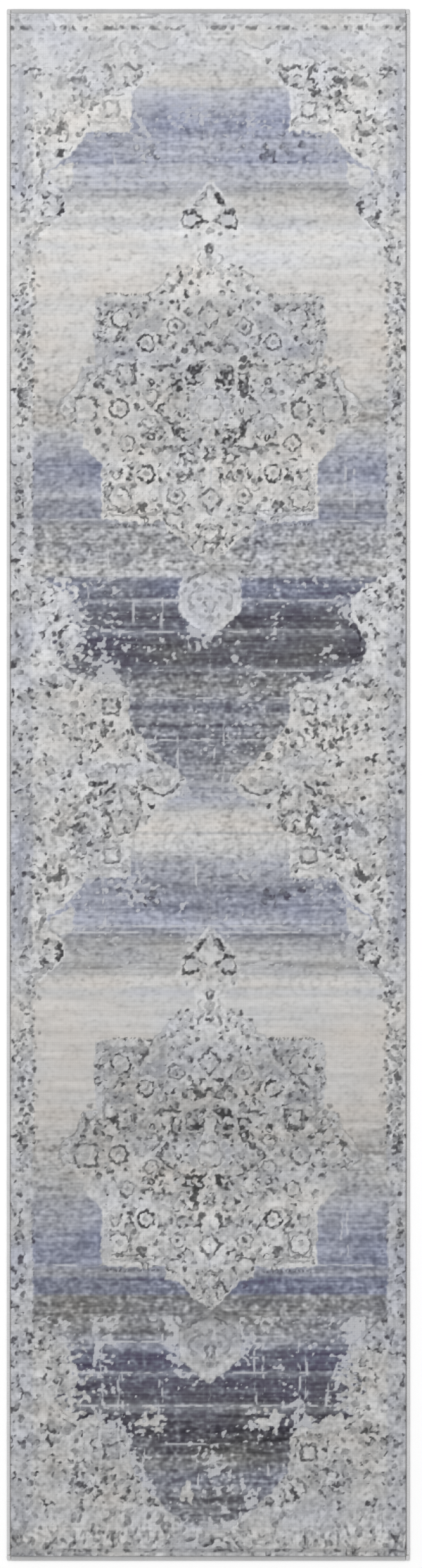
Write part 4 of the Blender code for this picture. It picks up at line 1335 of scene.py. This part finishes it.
def make_tack(word, hand, end):
    """The sleeve's end wound shut with yarn: turns side by side that shrink to a rounded tip."""
    node = f"corner_tack_{word}_{hand}"
    low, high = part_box(node)
    centre = ((low[0] + high[0]) / 2, (low[2] + high[2]) / 2)
    half = ((high[0] - low[0]) / 2, (high[2] - low[2]) / 2)
    near, far = (low[1], high[1]) if end > 0 else (-high[1], -low[1])
    turns = (far - near) / TACK_TURN
    rings = []
    for i in range(int(turns * 4) + 1):
        y = min(near + i * TACK_TURN / 4, far)
        into_tip = max(0.0, (y - (far - TACK_TIP)) / TACK_TIP)
        envelope = 0.45 + 0.55 * math.sqrt(max(0.0, 1 - into_tip ** 2))
        rings.append((y, envelope * (1 - TACK_RELIEF * (0.5 + 0.5 * math.cos(2 * math.pi * i / 4)))))
    rings.append((far, 0.22))
    angle = np.arange(TACK_SIDES) * 2 * math.pi / TACK_SIDES
    points = [(centre[0], end * near, centre[1])]
    for y, share in rings:
        points += [(centre[0] + half[0] * share * math.cos(a), end * y,
                    centre[1] + half[1] * share * math.sin(a)) for a in angle]
    points.append((centre[0], end * far, centre[1]))
    quads = tube_faces(len(rings), TACK_SIDES, flip=end > 0)[0] + 1
    last, tip_point = 1 + (len(rings) - 1) * TACK_SIDES, len(points) - 1
    fans = []
    for k in range(TACK_SIDES):
        step = (k + 1) % TACK_SIDES
        fans.append((0, 1 + step, 1 + k))
        fans.append((tip_point, last + k, last + step))
    if end > 0:
        fans = [fan[::-1] for fan in fans]
    mesh = plain_mesh(f"wound_tack_{word}_{hand}", np.array(points), quads, fans)
    tack = add_piece(f"wound_tack_{word}_{hand}", mesh, TACK_YARN, "rug")
    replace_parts(tack, node)
    return tack


# ------------------------------------------------------------------ the back
BACK_RIB = 2.0 * MM
BACK_RELIEF = 0.35 * MM
POCKET_ROOM = 0.3 * MM       # left free round the label
POCKET_WALL = 0.05 * MM      # how far the pocket's walls slope
HAIR = 1e-7                  # rounding room when places are compared


def make_back():
    """The coated back: weft ribs across the rug, with a shallow pocket where the label lies."""
    low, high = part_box("back_coat")
    flap_low, flap_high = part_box("care_label")
    sewn_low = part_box("label_stitching")[0]
    pocket_x = (flap_low[0] - POCKET_ROOM, flap_high[0] + POCKET_ROOM)
    pocket_y = (sewn_low[1] - POCKET_ROOM, flap_high[1] + POCKET_ROOM)
    xs = np.concatenate([np.linspace(low[0], pocket_x[0] - POCKET_WALL, 2),
                         np.linspace(pocket_x[0], pocket_x[1], 3),
                         np.linspace(pocket_x[1] + POCKET_WALL, high[0], 4)])
    ribs = int((high[1] - low[1]) / BACK_RIB)
    edges = [pocket_y[0] - POCKET_WALL, pocket_y[0], pocket_y[1], pocket_y[1] + POCKET_WALL]
    ys = np.sort(np.concatenate([np.linspace(low[1], high[1], 4 * ribs + 1), edges]))
    dip = BACK_RELIEF * (0.5 - 0.5 * np.cos(2 * math.pi * (ys - low[1]) / BACK_RIB))
    inside = ((xs >= pocket_x[0] - HAIR) & (xs <= pocket_x[1] + HAIR))[None, :] \
        & ((ys >= pocket_y[0] - HAIR) & (ys <= pocket_y[1] + HAIR))[:, None]
    under = np.where(inside, flap_high[2] + POCKET_ROOM, low[2] + dip[:, None])
    rows, columns = under.shape
    lower = grid_points(xs, ys, under)
    rim = grid_rim(rows, columns)
    upper = lower[rim].copy()
    upper[:, 2] = high[2]
    base = rows * columns + np.arange(len(rim))
    walls = np.stack([rim, np.roll(rim, -1), np.roll(base, -1), base], axis=1)
    quads = np.concatenate([grid_faces(rows, columns)[:, ::-1], walls])
    mesh = plain_mesh("ribbed_back", np.concatenate([lower, upper]), quads, [tuple(base.tolist())],
                      smooth=NO_FACES)
    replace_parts(add_piece("ribbed_back", mesh, LATEX_COAT, "rug"), "back_coat")


# ------------------------------------------------------------------ the care label
LABEL_HEM = 3.0 * MM
RIBBON = 0.22 * MM               # thickness of the ribbon, and what its turned hem adds
HEM_EXTRA = 0.16 * MM
LABEL_COLUMNS, FLAP_ROWS, SEWN_ROWS = 34, 28, 5
LABEL_STITCHES = 18
LABEL_STITCH_SHAKE = (0.05 * MM, 0.05 * MM, 0)
LABEL_SEAM_HEIGHT = 0.22 * MM


def ribbon_mesh(name, xs, ys, middle, thickness):
    """A thin closed ribbon: heights of its middle and thicknesses are given on a grid of places."""
    rows, columns = middle.shape
    over = grid_points(xs, ys, middle + thickness / 2)
    under = grid_points(xs, ys, middle - thickness / 2)
    rim = grid_rim(rows, columns)
    below = rim + rows * columns
    walls = np.stack([rim, below, np.roll(below, -1), np.roll(rim, -1)], axis=1)
    top = grid_faces(rows, columns)
    quads = np.concatenate([top, top[:, ::-1] + rows * columns, walls])
    return plain_mesh(name, np.concatenate([over, under]), quads)


def make_label():
    """The blank ribbon label: its loose flap, the edge sewn to the rug's back, and the stitches."""
    low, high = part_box("care_label")
    xs, ys = np.linspace(low[0], high[0], LABEL_COLUMNS), np.linspace(low[1], high[1], FLAP_ROWS)
    rest = (low[2] + high[2]) / 2
    along = (ys - low[1]) / (high[1] - low[1])
    across = (xs - low[0]) / (high[0] - low[0])
    curl = 0.10 * MM * np.sin(across * 5.2)[None, :] * along[:, None] ** 2 \
        + 0.03 * MM * np.sin(along * 9)[:, None]
    hem = ramp(ys, high[1] - LABEL_HEM - 0.4 * MM, high[1] - LABEL_HEM + 0.2 * MM)[:, None]
    crest = 1 - ramp(np.abs(across - 0.5), 0.485, 0.5)[None, :] * 0.5
    thickness = (RIBBON + HEM_EXTRA * hem) * crest
    flap = add_piece("ribbon_label", ribbon_mesh("ribbon_label", xs, ys, rest + curl, thickness),
                     LABEL_RIBBON, "label")
    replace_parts(flap, "care_label")
    low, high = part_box("label_stitching")
    xs, ys = np.linspace(low[0], high[0], LABEL_COLUMNS), np.linspace(low[1], high[1], SEWN_ROWS)
    level = np.full((SEWN_ROWS, LABEL_COLUMNS), rest + 0.04 * MM)
    mesh = ribbon_mesh("label_sewn_edge", xs, ys, level, np.full(level.shape, RIBBON))
    edge = add_piece("label_sewn_edge", mesh, LABEL_RIBBON, "rug")
    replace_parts(edge, "label_stitching")
    step = (high[0] - low[0]) / LABEL_STITCHES
    stitch = stitch_mesh("stitch_of_label", 0.8 * step, (0.16 * MM, 0.12 * MM), 0.14 * MM, -1)
    start = (low[0] + step / 2, (low[1] + high[1]) / 2, LABEL_SEAM_HEIGHT)
    row = row_of("label_stitches", stitch, LABEL_STITCHES, start, (step, 0, 0), SEWING_THREAD,
                 LABEL_STITCH_SHAKE, seed=9)
    return flap, edge, row


# ------------------------------------------------------------------ hidden inside: CAD shapes kept
CAD_FINISH = {"ground_weave": GROUND_CLOTH, "edge_cord_left": EDGE_CORD, "edge_cord_right": EDGE_CORD}


def finish_cad():
    for name, material in CAD_FINISH.items():
        mesh = nodes[name].data
        mesh.materials.clear()
        mesh.materials.append(material)


# ------------------------------------------------------------------ camera, floor and light
SEEN_LENGTH = 3.081          # what the camera takes in along the rug, in metres
CAMERA_HEIGHT = 30.0
FLOOR_HALF = 30.0
ROOM_GLOW = 0.70
SOFTBOX_PLACE = (-3.0, 3.0, 10.0)
SOFTBOX_SIZE = 10.0
SOFTBOX_POWER = 590


def make_camera():
    """Straight above, from far away, so that the rug shows without perspective."""
    lens = bpy.data.cameras.new("overhead_camera")
    lens.sensor_width = 36
    lens.lens = lens.sensor_width * CAMERA_HEIGHT / SEEN_LENGTH
    lens.clip_start, lens.clip_end = 1.0, 100.0
    camera = bpy.data.objects.new("overhead_camera", lens)
    camera.location = (5.4 * MM, 1.5 * MM, CAMERA_HEIGHT)
    bpy.context.scene.collection.objects.link(camera)
    bpy.context.scene.camera = camera


def make_floor():
    corners = FLOOR_HALF * np.array([(-1, -1, 0), (1, -1, 0), (1, 1, 0), (-1, 1, 0)])
    mesh = plain_mesh("floor", corners, np.array([(0, 1, 2, 3)]), smooth=NO_FACES)
    material, _, surface = new_material("pale_floor")
    surface.inputs["Base Color"].default_value = (0.97, 0.97, 0.97, 1)
    surface.inputs["Roughness"].default_value = 0.9
    surface.inputs["Specular IOR Level"].default_value = 0.0
    mesh.materials.append(material)
    floor = bpy.data.objects.new("floor", mesh)
    bpy.context.scene.collection.objects.link(floor)


def make_light():
    """An even glow from all round, and one large soft lamp high above the rug's head, to the left."""
    scene = bpy.context.scene
    scene.view_settings.view_transform = "Standard"
    world = bpy.data.worlds.new("soft_room")
    world.use_nodes = True
    background = world.node_tree.nodes["Background"]
    background.inputs["Color"].default_value = (1, 1, 1, 1)
    background.inputs["Strength"].default_value = ROOM_GLOW
    scene.world = world
    softbox = bpy.data.lights.new("overhead_softbox", "AREA")
    softbox.shape = "SQUARE"
    softbox.size = SOFTBOX_SIZE
    softbox.energy = SOFTBOX_POWER
    lamp = bpy.data.objects.new("overhead_softbox", softbox)
    lamp.location = SOFTBOX_PLACE
    lamp.rotation_euler = (-Vector(SOFTBOX_PLACE)).to_track_quat("-Z", "Y").to_euler()
    scene.collection.objects.link(lamp)


make_camera()
make_floor()
make_light()
finish_cad()
pile = make_pile()
overcasting = make_overcasting()
tacks = [make_tack(word, hand, end) for word, end in (("head", 1), ("foot", -1))
         for hand in ("left", "right")]
make_back()
flap, sewn_edge, label_seam = make_label()
for word, end, seed in (("head", 1, 11), ("foot", -1, 13)):
    tape = make_binding(word, end)
    needle = make_seam(f"needle_thread_{word}", (0.2 * MM, 0.18 * MM), 0.5 * MM, 1, seed)
    bobbin = make_seam(f"bobbin_thread_{word}", (0.2 * MM, 0.12 * MM), 0.3 * MM, -1, seed + 1)
